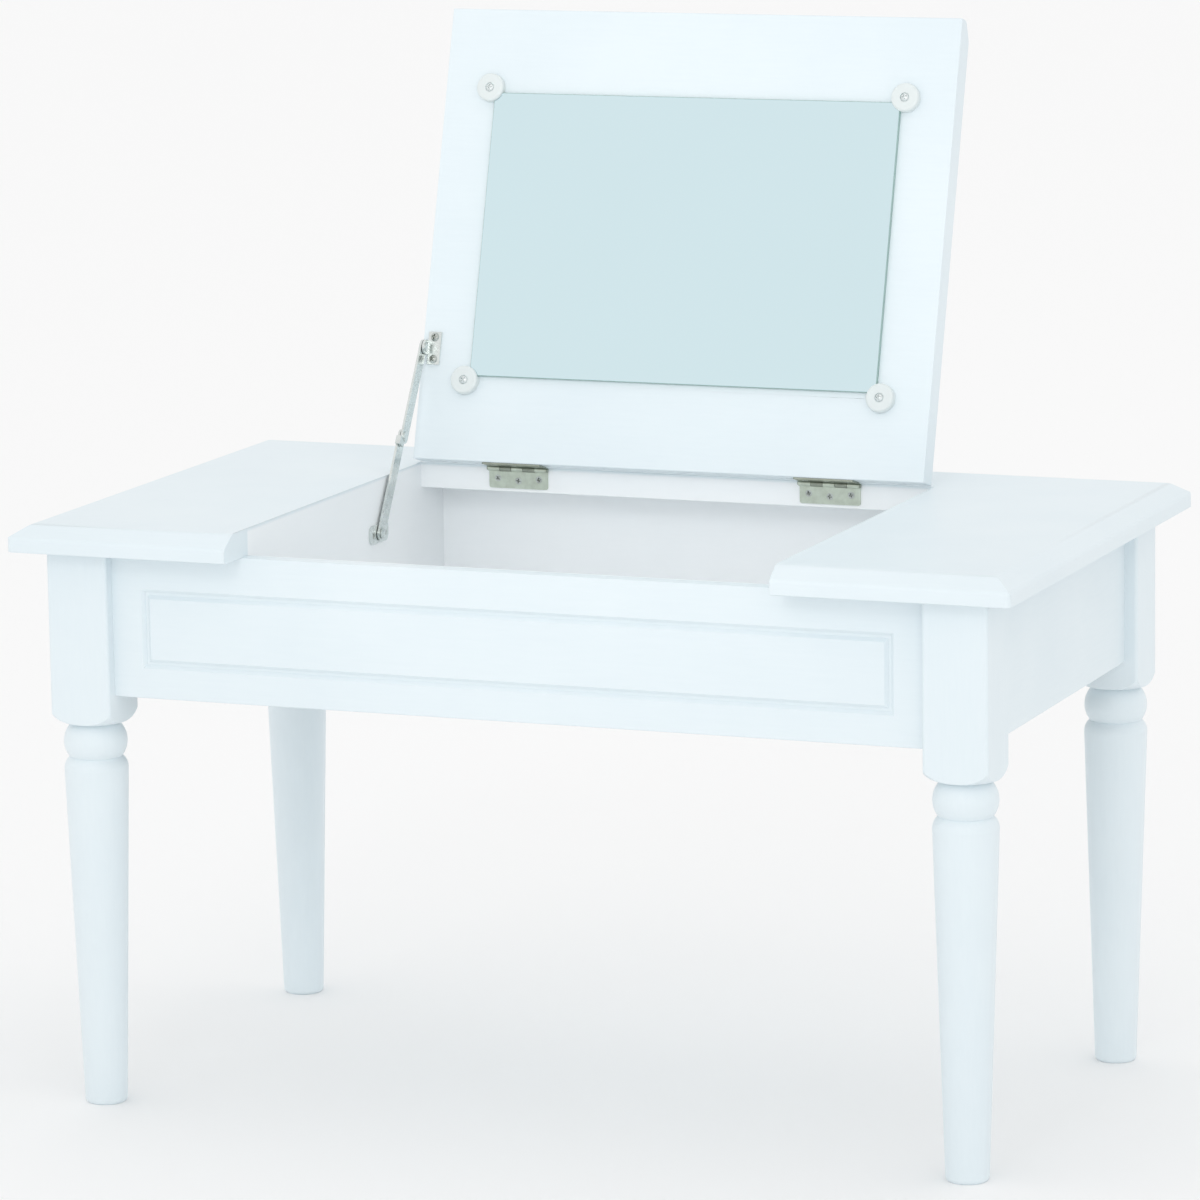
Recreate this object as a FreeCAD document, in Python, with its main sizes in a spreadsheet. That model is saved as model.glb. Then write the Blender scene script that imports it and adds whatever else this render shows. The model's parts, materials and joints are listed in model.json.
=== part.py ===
"""Small painted vanity table with a lift-up mirror lid, as a parametric FreeCAD document.

The table stands on the XY plane with its width along X and its front towards -Y.  The origin
is on the floor, under the middle of the table top.  All sizes are in millimetres and degrees.
The lid is modelled open.  Its pieces are drawn about the hinge pin as if it were closed, and
the lid's own placement turns them up.
"""
import FreeCAD, Part
import math
import os
import Sketcher

# Driving dimensions: name, value, meaning.
SIZES = [
    ("table_width", 700, "top, side to side"),
    ("table_depth", 400, "top, front to back"),
    ("table_height", 400, "floor to the top's upper face"),
    ("top_thick", 18, "top frame and lid board"),
    ("moulding_run", 13, "sloping moulding, inwards from the edge"),
    ("moulding_drop", 8.6, "sloping moulding, down from the upper face"),
    ("nose_round", 4, "rounding where the slope meets the upright nose"),
    ("crest_round", 9, "rounding where the slope meets the upper face"),
    ("corner_round", 4, "rounding of the top's corners in plan"),
    ("edge_ease", 0.8, "eased edges of painted boards"),
    ("end_overhang", 20.5, "top beyond the leg blocks at each end"),
    ("front_overhang", 17, "top beyond the leg blocks at front and back"),
    ("leg_block", 44, "square block at the head of a leg"),
    ("block_ease", 2.5, "rounding of the block's upright edges"),
    ("block_length", 119.3, "block from the top's underside to the first neck"),
    ("pommel_drop", 13.5, "height of the block's rounded lower end"),
    ("pommel_radius", 16, "curve of the block's rounded lower end"),
    ("neck_diameter", 31, "neck between block and bead"),
    ("bead_drop", 23.5, "height of the bead"),
    ("bead_radius", 17, "curve of the bead"),
    ("waist_diameter", 35.2, "waist between bead and shaft"),
    ("shaft_round_drop", 9, "height of the shaft's rounded head"),
    ("shaft_round_radius", 10, "curve of the shaft's rounded head"),
    ("shaft_diameter", 43, "shaft at its head"),
    ("foot_diameter", 28.6, "shaft at the floor end"),
    ("foot_face_diameter", 25.6, "flat face that stands on the floor"),
    ("foot_round_height", 3.2, "height of the foot's rounded edge"),
    ("foot_round_radius", 3.8, "curve of the foot's rounded edge"),
    ("leg_flat", 9, "cut across a block's inner corner"),
    ("apron_height", 98.6, "apron boards"),
    ("apron_thick", 12, "apron boards"),
    ("apron_setback", 9, "apron face behind the leg block's face"),
    ("routing_side", 24.5, "routed line from the ends of the front apron"),
    ("routing_low", 23.5, "routed line from the front apron's lower edge"),
    ("routing_high", 28, "routed line from the front apron's upper edge"),
    ("routing_flat", 2, "flat bottom of the routed line"),
    ("routing_depth", 2.4, "depth of the routed line"),
    ("routing_bevel", 2.1, "bevel on both sides of the routed line"),
    ("box_width", 380, "inside width of the storage box and of the lid's opening"),
    ("box_wall_thick", 12, "the two inner walls of the storage box"),
    ("housing_depth", 4, "depth of housings and floor grooves"),
    ("floor_thick", 5, "floor board of the storage box"),
    ("floor_lift", 7, "floor board above the aprons' lower edge"),
    ("fit_gap", 0.2, "clearance of boards in their grooves"),
    ("rail_depth", 76, "fixed rail behind the lid, front to back"),
    ("lid_side_gap", 1.5, "gap at each end of the lid"),
    ("lid_lift", 0.4, "gap under the closed lid"),
    ("lid_open_angle", 106, "open lid, turned up from closed"),
    ("hinge_gap", 4.6, "gap between rail and lid, where the hinges are"),
    ("pin_drop", 1.4, "hinge pin below the top's upper face"),
    ("pin_diameter", 2, "hinge pin"),
    ("pin_clearance", 0.05, "radial running clearance on pins and rivets"),
    ("pin_head", 0.8, "head at each end of a hinge pin"),
    ("knuckle_diameter", 4, "hinge knuckles"),
    ("knuckle_gap", 0.3, "gap between knuckles"),
    ("leaf_thick", 1.2, "hinge leaf"),
    ("leaf_length", 14, "hinge leaf from the pin to its edge"),
    ("leaf_round", 1.5, "rounding of a leaf's outer corners"),
    ("hinge_width", 44, "hinge along its pin"),
    ("hinge_spacing", 115.4, "hinge centre from the middle of the table"),
    ("hinge_screw_spread", 15.4, "outer hinge screws from the hinge's middle"),
    ("hinge_screw_drop", 7, "outer hinge screws below the pin"),
    ("hinge_screw_stagger", 1.6, "middle hinge screw below the outer ones"),
    ("hinge_screw_shank", 2.8, "shank diameter"),
    ("hinge_screw_head", 5, "countersunk head diameter"),
    ("hinge_screw_length", 13, "length under the head's face"),
    ("mirror_width", 300, "glass, side to side"),
    ("mirror_height", 200, "glass, hinge edge to free edge"),
    ("mirror_thick", 3, "glass"),
    ("mirror_ease", 0.4, "ground edge of the glass"),
    ("clip_diameter", 20, "round mirror clip"),
    ("clip_lip", 2.4, "clip above the glass"),
    ("clip_round", 1.8, "rounding of the clip's rim"),
    ("clip_offset", 3.4, "clip centre beyond the glass corner, each way"),
    ("clip_gap", 0.15, "clearance of the glass in a clip"),
    ("clip_screw_recess", 1, "depth of the screw seat in a clip"),
    ("round_screw_shank", 3, "shank diameter of the round-headed screws"),
    ("round_screw_head", 6.2, "head diameter of the round-headed screws"),
    ("round_screw_rise", 2, "head height of the round-headed screws"),
    ("round_screw_bite", 9, "depth of a round-headed screw in the wood"),
    ("stay_wall_forward", 77, "stay's wall pivot in front of the rail"),
    ("stay_wall_drop", 20, "stay's wall pivot below the top's underside"),
    ("stay_lid_reach", 78, "stay's lid pivot from the lid's hinge edge"),
    ("stay_lid_stand", 7, "stay's lid pivot off the lid's underside"),
    ("stay_lower_length", 73, "lower arm between its pivots"),
    ("stay_arm_width", 10, "both arms"),
    ("stay_arm_thick", 1.6, "both arms"),
    ("stay_gap", 0.4, "gap between the stay's layers"),
    ("stay_plate_thick", 1.5, "wall plate and lid bracket"),
    ("stay_wall_plate_length", 30, "wall plate, front to back"),
    ("stay_wall_plate_height", 13, "wall plate"),
    ("stay_wall_screw_reach", 9.6, "wall plate's screws from its pivot"),
    ("stay_foot_width", 9.5, "lid bracket's foot, side to side"),
    ("stay_foot_length", 23, "lid bracket's foot, along the lid"),
    ("stay_foot_screw_reach", 7.8, "lid bracket's screws from its pivot"),
    ("stay_tab_reach", 8, "stop tab beyond the elbow pivot"),
    ("stay_tab_length", 6, "stop tab along the arm"),
    ("stay_tab_thick", 1.6, "stop tab"),
    ("stay_tab_gap", 0.3, "stop tab off the lower arm's edge"),
    ("stay_wall_screw_head", 5.4, "countersunk heads of the wall plate's screws"),
    ("rivet_diameter", 4, "stay rivets"),
    ("rivet_play", 0.2, "turning arm between rivet head and plate"),
    ("rivet_head", 7, "stay rivets' heads"),
    ("rivet_rise", 1.3, "height of a rivet's head"),
    ("block_thick", 18, "corner blocks"),
    ("block_height", 45, "corner blocks"),
    ("bolt_diameter", 6, "hanger bolts"),
    ("bolt_in_leg", 24, "hanger bolt's hold in the leg"),
    ("bolt_past_nut", 5, "hanger bolt beyond its nut"),
    ("bolt_clearance", 0.4, "radial clearance of a bolt in its block"),
    ("nut_across", 10, "hexagon nut, across its flats"),
    ("nut_thick", 5, "hexagon nut"),
    ("washer_diameter", 16, "washer"),
    ("washer_thick", 1.6, "washer"),
    ("top_screw_spread", 17, "top screws each side of the hanger bolt"),
    ("top_screw_shank", 4, "top screws"),
    ("top_screw_head", 8, "top screws' heads"),
    ("top_screw_rise", 2.4, "height of a top screw's head"),
    ("top_screw_bite", 11, "hold of a top screw in the top"),
]

# Values worked out from the driving dimensions, as formulas of the second sheet.
PLACES = [
    ("half_width", "Sizes.table_width / 2"),
    ("half_depth", "Sizes.table_depth / 2"),
    ("under_top", "Sizes.table_height - Sizes.top_thick"),
    ("box_half", "Sizes.box_width / 2"),
    ("rail_front", "half_depth - Sizes.rail_depth"),
    ("leg_across", "half_width - Sizes.end_overhang - Sizes.leg_block / 2"),
    ("leg_back", "half_depth - Sizes.front_overhang - Sizes.leg_block / 2"),
    ("block_half", "Sizes.leg_block / 2"),
    ("neck_height", "under_top - Sizes.block_length"),
    ("pommel_height", "neck_height + Sizes.pommel_drop"),
    ("pommel_far", "Sizes.leg_block"),
    ("neck_radius", "Sizes.neck_diameter / 2"),
    ("pommel_out", "block_half * sqrt(2) + 1"),
    ("waist_height", "neck_height - Sizes.bead_drop"),
    ("waist_radius", "Sizes.waist_diameter / 2"),
    ("shaft_height", "waist_height - Sizes.shaft_round_drop"),
    ("shaft_radius", "Sizes.shaft_diameter / 2"),
    ("foot_radius", "Sizes.foot_diameter / 2"),
    ("foot_face_radius", "Sizes.foot_face_diameter / 2"),
    ("apron_bottom", "under_top - Sizes.apron_height"),
    ("apron_out", "block_half - Sizes.apron_setback"),
    ("apron_in", "apron_out - Sizes.apron_thick"),
    ("front_apron_half", "leg_across - block_half"),
    ("side_apron_half", "leg_back - block_half"),
    ("apron_face_back", "leg_back + apron_out"),
    ("apron_face_across", "leg_across + apron_out"),
    ("apron_inside_back", "leg_back + apron_in"),
    ("wall_half", "apron_inside_back + Sizes.housing_depth"),
    ("wall_out", "box_half + Sizes.box_wall_thick"),
    ("floor_half_width", "box_half + Sizes.housing_depth - Sizes.fit_gap"),
    ("floor_half_depth", "apron_inside_back + Sizes.housing_depth - Sizes.fit_gap"),
    ("groove_height", "Sizes.floor_thick + Sizes.fit_gap"),
    ("floor_height", "apron_bottom + Sizes.floor_lift"),
    ("route_left", "front_apron_half - Sizes.routing_side + Sizes.routing_flat / 2"),
    ("route_left_in", "route_left - Sizes.routing_flat"),
    ("route_low", "Sizes.routing_low - Sizes.routing_flat / 2"),
    ("route_low_in", "route_low + Sizes.routing_flat"),
    ("route_high", "Sizes.apron_height - Sizes.routing_high + Sizes.routing_flat / 2"),
    ("route_high_in", "route_high - Sizes.routing_flat"),
    ("half_gap", "Sizes.hinge_gap / 2"),
    ("pin_back", "rail_front - half_gap"),
    ("pin_height", "Sizes.table_height - Sizes.pin_drop"),
    ("lid_half", "box_half - Sizes.lid_side_gap"),
    ("lid_length", "Sizes.table_depth - Sizes.rail_depth - Sizes.hinge_gap"),
    ("lid_reach", "half_gap + lid_length"),
    ("lid_upper", "Sizes.pin_drop + Sizes.lid_lift"),
    ("lid_under", "lid_upper - Sizes.top_thick"),
    ("pin_radius", "Sizes.pin_diameter / 2"),
    ("knuckle_radius", "Sizes.knuckle_diameter / 2"),
    ("knuckle_pitch", "Sizes.hinge_width / 5"),
    ("leaf_half", "Sizes.hinge_width / 2"),
    ("leaf_inner", "half_gap - Sizes.leaf_thick"),
    ("mirror_half_width", "Sizes.mirror_width / 2"),
    ("mirror_half_height", "Sizes.mirror_height / 2"),
    ("mirror_middle", "half_gap + lid_length / 2"),
    ("mirror_near", "mirror_middle - mirror_half_height"),
    ("mirror_far", "mirror_middle + mirror_half_height"),
    ("mirror_face", "lid_under - Sizes.mirror_thick"),
    ("clip_radius", "Sizes.clip_diameter / 2"),
    ("clip_thick", "Sizes.mirror_thick + Sizes.clip_gap + Sizes.clip_lip"),
    ("clip_across", "mirror_half_width + Sizes.clip_offset"),
    ("clip_near", "mirror_near - Sizes.clip_offset"),
    ("clip_far", "mirror_far + Sizes.clip_offset"),
    ("stay_lower_layer", "box_half - Sizes.stay_plate_thick - Sizes.stay_gap"),
    ("stay_upper_layer", "stay_lower_layer - Sizes.stay_arm_thick - Sizes.stay_gap"),
    ("stay_ear_layer", "stay_upper_layer - Sizes.stay_arm_thick - Sizes.stay_gap"),
    ("stay_arm_half", "Sizes.stay_arm_width / 2"),
    ("stay_wall_back", "rail_front - Sizes.stay_wall_forward"),
    ("stay_wall_height", "under_top - Sizes.stay_wall_drop"),
    ("stay_lid_y", "-half_gap - Sizes.stay_lid_reach"),
    ("stay_lid_z", "lid_under - Sizes.stay_lid_stand"),
    ("lid_cosine", "cos(Sizes.lid_open_angle * 1 deg)"),
    ("lid_sine", "sin(Sizes.lid_open_angle * 1 deg)"),
    ("stay_rise_back", "pin_back + stay_lid_y * lid_cosine + stay_lid_z * lid_sine - stay_wall_back"),
    ("stay_rise", "pin_height - stay_lid_y * lid_sine + stay_lid_z * lid_cosine - stay_wall_height"),
    ("stay_span", "sqrt(stay_rise_back ^ 2 + stay_rise ^ 2)"),
    ("stay_slope", "atan2(stay_rise; stay_rise_back) / 1 deg"),
    ("stay_upper_length", "stay_span - Sizes.stay_lower_length"),
    ("stay_elbow_back", "stay_wall_back + Sizes.stay_lower_length * cos(stay_slope * 1 deg)"),
    ("stay_elbow_height", "stay_wall_height + Sizes.stay_lower_length * sin(stay_slope * 1 deg)"),
    ("rivet_radius", "Sizes.rivet_diameter / 2"),
    ("stay_plate_half_length", "Sizes.stay_wall_plate_length / 2"),
    ("stay_plate_half_height", "Sizes.stay_wall_plate_height / 2"),
    ("corner_cut_across", "half_width - Sizes.corner_round"),
    ("corner_cut_back", "half_depth - Sizes.corner_round"),
    ("corner_out", "Sizes.leg_block - Sizes.leg_flat"),
    ("flat_start", "corner_out - block_half"),
    ("corner_in", "corner_out + Sizes.block_thick * sqrt(2)"),
    ("corner_start", "corner_out + apron_in"),
    ("corner_end", "corner_in + apron_in"),
    ("corner_bottom", "under_top - Sizes.block_height"),
    ("bolt_height", "under_top - Sizes.block_height / 2"),
    ("corner_middle", "(corner_out + corner_in) / 4"),
]

KNUCKLES = 5
HEAD_SEGMENT_RISE = 0.45
SLOPE_DIAGONAL = math.sqrt(0.5)

X = FreeCAD.Vector(1, 0, 0)
Y = FreeCAD.Vector(0, 1, 0)
Z = FreeCAD.Vector(0, 0, 1)

doc = FreeCAD.newDocument("VanityTable")
sub_parts = []


# ---------------------------------------------------------------- sheets and values

def write_sheet(name, rows):
    """Fill one spreadsheet with names, values and aliases."""
    sheet = doc.addObject("Spreadsheet::Sheet", name)
    for row, entry in enumerate(rows, start=1):
        sheet.set(f"A{row}", entry[0])
        sheet.set(f"B{row}", str(entry[1]))
        sheet.setAlias(f"B{row}", entry[0])
        if len(entry) > 2:
            sheet.set(f"C{row}", entry[2])
    return sheet


sizes = write_sheet("Sizes", SIZES)
places = write_sheet("Places", [(name, "=" + formula) for name, formula in PLACES])
doc.recompute()


def ref(name):
    """A named value, with or without a minus sign, as an expression."""
    text = str(name)
    if text.startswith("-"):
        return "-" + ref(text[1:])
    if sizes.getCellFromAlias(text):
        return "Sizes." + text
    if places.getCellFromAlias(text):
        return "Places." + text
    return text


def value(name):
    """A named value, with or without a minus sign, as a number."""
    text = str(name)
    if text.startswith("-"):
        return -value(text[1:])
    if sizes.getCellFromAlias(text):
        return float(getattr(sizes, text))
    if places.getCellFromAlias(text):
        return float(getattr(places, text))
    return float(text)


def bind(feature, **properties):
    """Bind properties of a feature to named values or to formulas."""
    for prop, name in properties.items():
        feature.setExpression(prop, ref(name))


def step_expression(x=0, y=0, z=0, axis=Z, angle=0):
    """One placement step as an expression: a shift and a turn."""
    shift = f"vector({ref(x)}; {ref(y)}; {ref(z)})"
    turn = f"rotation(vector({axis.x}; {axis.y}; {axis.z}); {ref(angle)})"
    return f"placement({shift}; {turn})"


LID_STEP = dict(y="pin_back", z="pin_height", axis=X, angle="-lid_open_angle")


def put(feature, *steps):
    """Bind a feature's whole Placement to one or more placement steps."""
    feature.setExpression("Placement", " * ".join(step_expression(**step) for step in steps))


# ---------------------------------------------------------------- PartDesign helpers

def new_body(name):
    """A body with its own label, listed as one sub-part."""
    body = doc.addObject("PartDesign::Body", name)
    body.Label = name
    sub_parts.append(body)
    return body


def new_sketch(body, role, name, offset=None):
    """An empty sketch on one of the body's origin planes, shifted along its normal."""
    plane = [item for item in body.Origin.OriginFeatures if item.Role == role][0]
    sketch = body.newObject("Sketcher::SketchObject", name)
    sketch.AttachmentSupport = [(plane, "")]
    sketch.MapMode = "FlatFace"
    if offset is not None:
        sketch.setExpression("AttachmentOffset.Base.z", ref(offset))
    return sketch


def pin_point(sketch, index, end, x, y):
    """Tie a geometry's end to the sketch origin by two named distances."""
    for kind, name in (("DistanceX", x), ("DistanceY", y)):
        if str(name) == "0":
            axis = -2 if kind == "DistanceX" else -1
            sketch.addConstraint(Sketcher.Constraint("PointOnObject", index, end, axis))
            continue
        tie = sketch.addConstraint(
            Sketcher.Constraint(kind, -1, 1, index, end, value(name)))
        sketch.setExpression(f"Constraints[{tie}]", ref(name))


def arc_through(start, end, radius, side):
    """An arc of a given radius between two points, bulging to one side of the chord."""
    chord = end - start
    middle = (start + end) / 2
    normal = FreeCAD.Vector(-chord.y, chord.x, 0).normalize() * side
    sagitta = radius - math.sqrt(radius ** 2 - (chord.Length / 2) ** 2)
    return Part.Arc(start, middle + normal * sagitta, end)


def outline(sketch, corners):
    """A closed outline.  A corner is (x, y) for a line that leaves it, or
    (x, y, radius, side) for an arc that leaves it."""
    first = sketch.GeometryCount
    points = [FreeCAD.Vector(value(corner[0]), value(corner[1]), 0) for corner in corners]
    count = len(corners)
    for number, corner in enumerate(corners):
        start = points[number]
        end = points[(number + 1) % count]
        if len(corner) == 2:
            sketch.addGeometry(Part.LineSegment(start, end), False)
        else:
            sketch.addGeometry(arc_through(start, end, value(corner[2]), corner[3]), False)
    starts = []
    for number, corner in enumerate(corners):
        begins_at_start = sketch.getPoint(first + number, 1).isEqual(points[number], 1e-6)
        starts.append(1 if begins_at_start else 2)
    for number, corner in enumerate(corners):
        following = (number + 1) % count
        sketch.addConstraint(Sketcher.Constraint(
            "Coincident", first + number, 3 - starts[number], first + following, starts[following]))
    for number, corner in enumerate(corners):
        pin_point(sketch, first + number, starts[number], corner[0], corner[1])
        if len(corner) == 4:
            tie = sketch.addConstraint(
                Sketcher.Constraint("Radius", first + number, value(corner[2])))
            sketch.setExpression(f"Constraints[{tie}]", ref(corner[2]))


def rectangle(sketch, left, low, right, high):
    """A rectangle between four named coordinates."""
    outline(sketch, [(left, low), (right, low), (right, high), (left, high)])


def circle(sketch, x, y, radius):
    """A circle with a named centre and radius."""
    index = sketch.addGeometry(Part.Circle(
        FreeCAD.Vector(value(x), value(y), 0), Z, value(radius)), False)
    pin_point(sketch, index, 3, x, y)
    tie = sketch.addConstraint(Sketcher.Constraint("Radius", index, value(radius)))
    sketch.setExpression(f"Constraints[{tie}]", ref(radius))


def pad(body, sketch, length, name="board", reversed_=False, midplane=False):
    """Pad a sketch by a named length."""
    feature = body.newObject("PartDesign::Pad", name)
    feature.Profile = sketch
    feature.Reversed = reversed_
    feature.Midplane = midplane
    bind(feature, Length=length)
    return feature


def pocket(body, sketch, depth, name, reversed_=False):
    """Pocket a sketch by a named depth, and make sure that it removed material."""
    doc.recompute()
    before = body.Tip.Shape.Volume
    feature = body.newObject("PartDesign::Pocket", name)
    feature.Profile = sketch
    feature.Reversed = reversed_
    bind(feature, Length=depth)
    doc.recompute()
    if feature.Shape.Volume >= before:
        raise RuntimeError(f"{body.Label}.{name} cut nothing")
    return feature


def cut_box(body, name, corner, size):
    """Remove a block given by its low corner and its three named sizes."""
    doc.recompute()
    before = body.Tip.Shape.Volume
    feature = body.newObject("PartDesign::SubtractiveBox", name)
    bind(feature, Length=size[0], Width=size[1], Height=size[2])
    put(feature, dict(x=corner[0], y=corner[1], z=corner[2]))
    doc.recompute()
    if feature.Shape.Volume >= before:
        raise RuntimeError(f"{body.Label}.{name} cut nothing")


def drill(body, name, at, axis, angle, radius, depth):
    """Remove a round hole that starts at a point and runs along Z turned about an axis."""
    doc.recompute()
    before = body.Tip.Shape.Volume
    feature = body.newObject("PartDesign::SubtractiveCylinder", name)
    bind(feature, Radius=radius, Height=depth)
    put(feature, dict(x=at[0], y=at[1], z=at[2], axis=axis, angle=angle))
    doc.recompute()
    if feature.Shape.Volume >= before:
        raise RuntimeError(f"{body.Label}.{name} cut nothing")


def countersink(body, name, at, axis, angle, wide, narrow, depth):
    """Remove a cone that is wide at its start and runs along Z turned about an axis."""
    doc.recompute()
    feature = body.newObject("PartDesign::SubtractiveCone", name)
    bind(feature, Radius1=wide, Radius2=narrow, Height=depth)
    put(feature, dict(x=at[0], y=at[1], z=at[2], axis=axis, angle=angle))


def edge_names(feature, wanted):
    """Names of a feature's edges for which the test holds."""
    return [f"Edge{number}" for number, edge in enumerate(feature.Shape.Edges, start=1)
            if wanted(edge)]


def ease(body, name, wanted, radius):
    """Fillet the chosen edges of the body's last feature."""
    doc.recompute()
    base = body.Tip
    chosen = edge_names(base, wanted)
    if not chosen:
        raise RuntimeError(f"{body.Label}.{name} found no edges")
    feature = body.newObject("PartDesign::Fillet", name)
    feature.Base = (base, chosen)
    bind(feature, Radius=radius)
    doc.recompute()
    return feature


def bevel(body, name, wanted, size, size2=None):
    """Chamfer the chosen edges of the body's last feature, with one or two sizes."""
    doc.recompute()
    base = body.Tip
    chosen = edge_names(base, wanted)
    if not chosen:
        raise RuntimeError(f"{body.Label}.{name} found no edges")
    feature = body.newObject("PartDesign::Chamfer", name)
    feature.Base = (base, chosen)
    bind(feature, Size=size)
    if size2 is not None:
        feature.ChamferType = "Two distances"
        bind(feature, Size2=size2)
    doc.recompute()
    return feature


def near(first, second):
    """Two coordinates are the same."""
    return abs(first - second) < 1e-4


def upright(edge):
    """An edge runs along Z."""
    box = edge.BoundBox
    return box.XLength < 1e-4 and box.YLength < 1e-4


def at_height(edge, height):
    """An edge lies wholly at one height."""
    box = edge.BoundBox
    return near(box.ZMin, height) and near(box.ZMax, height)


def group(name, shapes, *steps):
    """Separate like solids in one node, drawn by code from the sheets."""
    feature = doc.addObject("Part::Feature", name)
    feature.Label = name
    feature.Shape = Part.makeCompound(shapes)
    if steps:
        put(feature, *steps)
    sub_parts.append(feature)
    return feature


def moved(shape, x=0, y=0, z=0, axis=Z, angle=0):
    """A copy of a shape, turned about an axis through its origin and then shifted."""
    copy = shape.copy()
    step = FreeCAD.Placement(FreeCAD.Vector(x, y, z), FreeCAD.Rotation(axis, angle))
    copy.Placement = step.multiply(shape.Placement)
    return copy


# ---------------------------------------------------------------- fasteners

def domed_head(radius, rise):
    """A low round head that stands on the plane Z = 0."""
    base = Part.makeCylinder(radius, rise * HEAD_SEGMENT_RISE)
    crown_rise = rise * (1 - HEAD_SEGMENT_RISE)
    sphere_radius = (radius ** 2 + crown_rise ** 2) / (2 * crown_rise)
    sphere = Part.makeSphere(sphere_radius)
    sphere.translate(FreeCAD.Vector(0, 0, rise - sphere_radius))
    reach = Part.makeCylinder(radius, rise)
    return base.fuse(sphere.common(reach)).removeSplitter()


def screw_shank(radius, length):
    """A screw's shank below Z = 0, with a conical point."""
    point = radius * 2
    body = Part.makeCylinder(radius, length - point, FreeCAD.Vector(0, 0, 0), -Z)
    tip = Part.makeCone(radius, radius / 10, point, FreeCAD.Vector(0, 0, point - length), -Z)
    return body.fuse(tip)


def round_screw(shank_radius, length, head_radius, rise):
    """A round-headed screw whose head stands on the plane Z = 0."""
    return screw_shank(shank_radius, length).fuse(domed_head(head_radius, rise)).removeSplitter()


def flat_screw(shank_radius, length, head_radius):
    """A countersunk screw whose head is flush with the plane Z = 0."""
    cone_depth = head_radius - shank_radius
    cone = Part.makeCone(head_radius, shank_radius, cone_depth, FreeCAD.Vector(0, 0, 0), -Z)
    return screw_shank(shank_radius, length).fuse(cone).removeSplitter()


# ---------------------------------------------------------------- top and lid

def outline_edge(height, back, across=None):
    """A test for edges at one height that lie at -back or back, or at -across or across."""
    def wanted(edge):
        box = edge.BoundBox
        if not at_height(edge, height):
            return False
        if box.YLength < 1e-4 and near(abs(box.YMin), back):
            return True
        return across is not None and box.XLength < 1e-4 and near(abs(box.XMin), across)
    return wanted


def mould(body, upper, back, across=None):
    """The sloping edge moulding: a two-distance chamfer, then a rounding at each side of it."""
    run = value("moulding_run")
    inner = None if across is None else across - run
    bevel(body, "moulding", outline_edge(upper, back, across), "moulding_drop", "moulding_run")
    ease(body, "nose", outline_edge(upper - value("moulding_drop"), back, across), "nose_round")
    ease(body, "crest", outline_edge(upper, back - run, inner), "crest_round")


def make_top_frame():
    """The fixed top: one board with a slot that the lid fills."""
    body = new_body("top_frame")
    sketch = new_sketch(body, "XY_Plane", "top_outline", "under_top")
    outline(sketch, [
        ("-half_width", "-half_depth"), ("-box_half", "-half_depth"),
        ("-box_half", "rail_front"), ("box_half", "rail_front"),
        ("box_half", "-half_depth"), ("half_width", "-half_depth"),
        ("half_width", "half_depth"), ("-half_width", "half_depth")])
    pad(body, sketch, "top_thick")
    mould(body, value("table_height"), value("half_depth"), value("half_width"))

    cuts = new_sketch(body, "XY_Plane", "corner_cuts", "under_top")
    for across, back, side in (("", "", -1), ("-", "", 1), ("-", "-", -1), ("", "-", 1)):
        outline(cuts, [
            (across + "half_width", back + "corner_cut_back", "corner_round", side),
            (across + "corner_cut_across", back + "half_depth"),
            (across + "half_width", back + "half_depth")])
    pocket(body, cuts, "top_thick", "corners", reversed_=True)

    def slot_edge(edge):
        box = edge.BoundBox
        at_rail = near(box.YMin, value("rail_front")) and near(box.YMax, value("rail_front"))
        inside = max(abs(box.XMin), abs(box.XMax)) < value("box_half") + 1e-4
        return inside and at_rail and box.XLength > 1

    ease(body, "rail_edges", slot_edge, "edge_ease")
    for side in ("-", ""):
        drill_hinge_pilots(body, side, f"{side}Sizes.hinge_spacing", "rail_front",
                           "Places.pin_height", -90)
    for name, x, y in corner_screw_places():
        drill(body, f"top_pilot_{name}", (x, y, "under_top"), Z, 0,
              "Sizes.top_screw_shank / 2", "top_screw_bite")
    put(body, {})


def drill_hinge_pilots(body, side, centre, face, pin, turn):
    """Three holes for a hinge leaf's screws, in the face of a board."""
    for number in (1, 2, 3):
        drill(body, f"hinge_pilot_{'left' if side else 'right'}_{number}",
              (f"{centre} + {spread_formula(number)}", face, f"{pin} - ({drop_formula(number)})"),
              X, turn, "Sizes.hinge_screw_shank / 2",
              "Sizes.hinge_screw_length - Sizes.leaf_thick")


def hinge_screw_pattern():
    """Number, sideways offset and drop of each of a hinge leaf's three screws."""
    spread = value("hinge_screw_spread")
    drop = value("hinge_screw_drop")
    return [(1, -spread, drop), (2, 0, drop + value("hinge_screw_stagger")), (3, spread, drop)]


def spread_formula(number):
    """Sideways offset of a hinge screw as a formula."""
    return f"{number - 2} * Sizes.hinge_screw_spread"


def drop_formula(number):
    """Drop of a hinge screw below the pin as a formula."""
    stagger = " + Sizes.hinge_screw_stagger" if number == 2 else ""
    return f"Sizes.hinge_screw_drop{stagger}"


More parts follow.
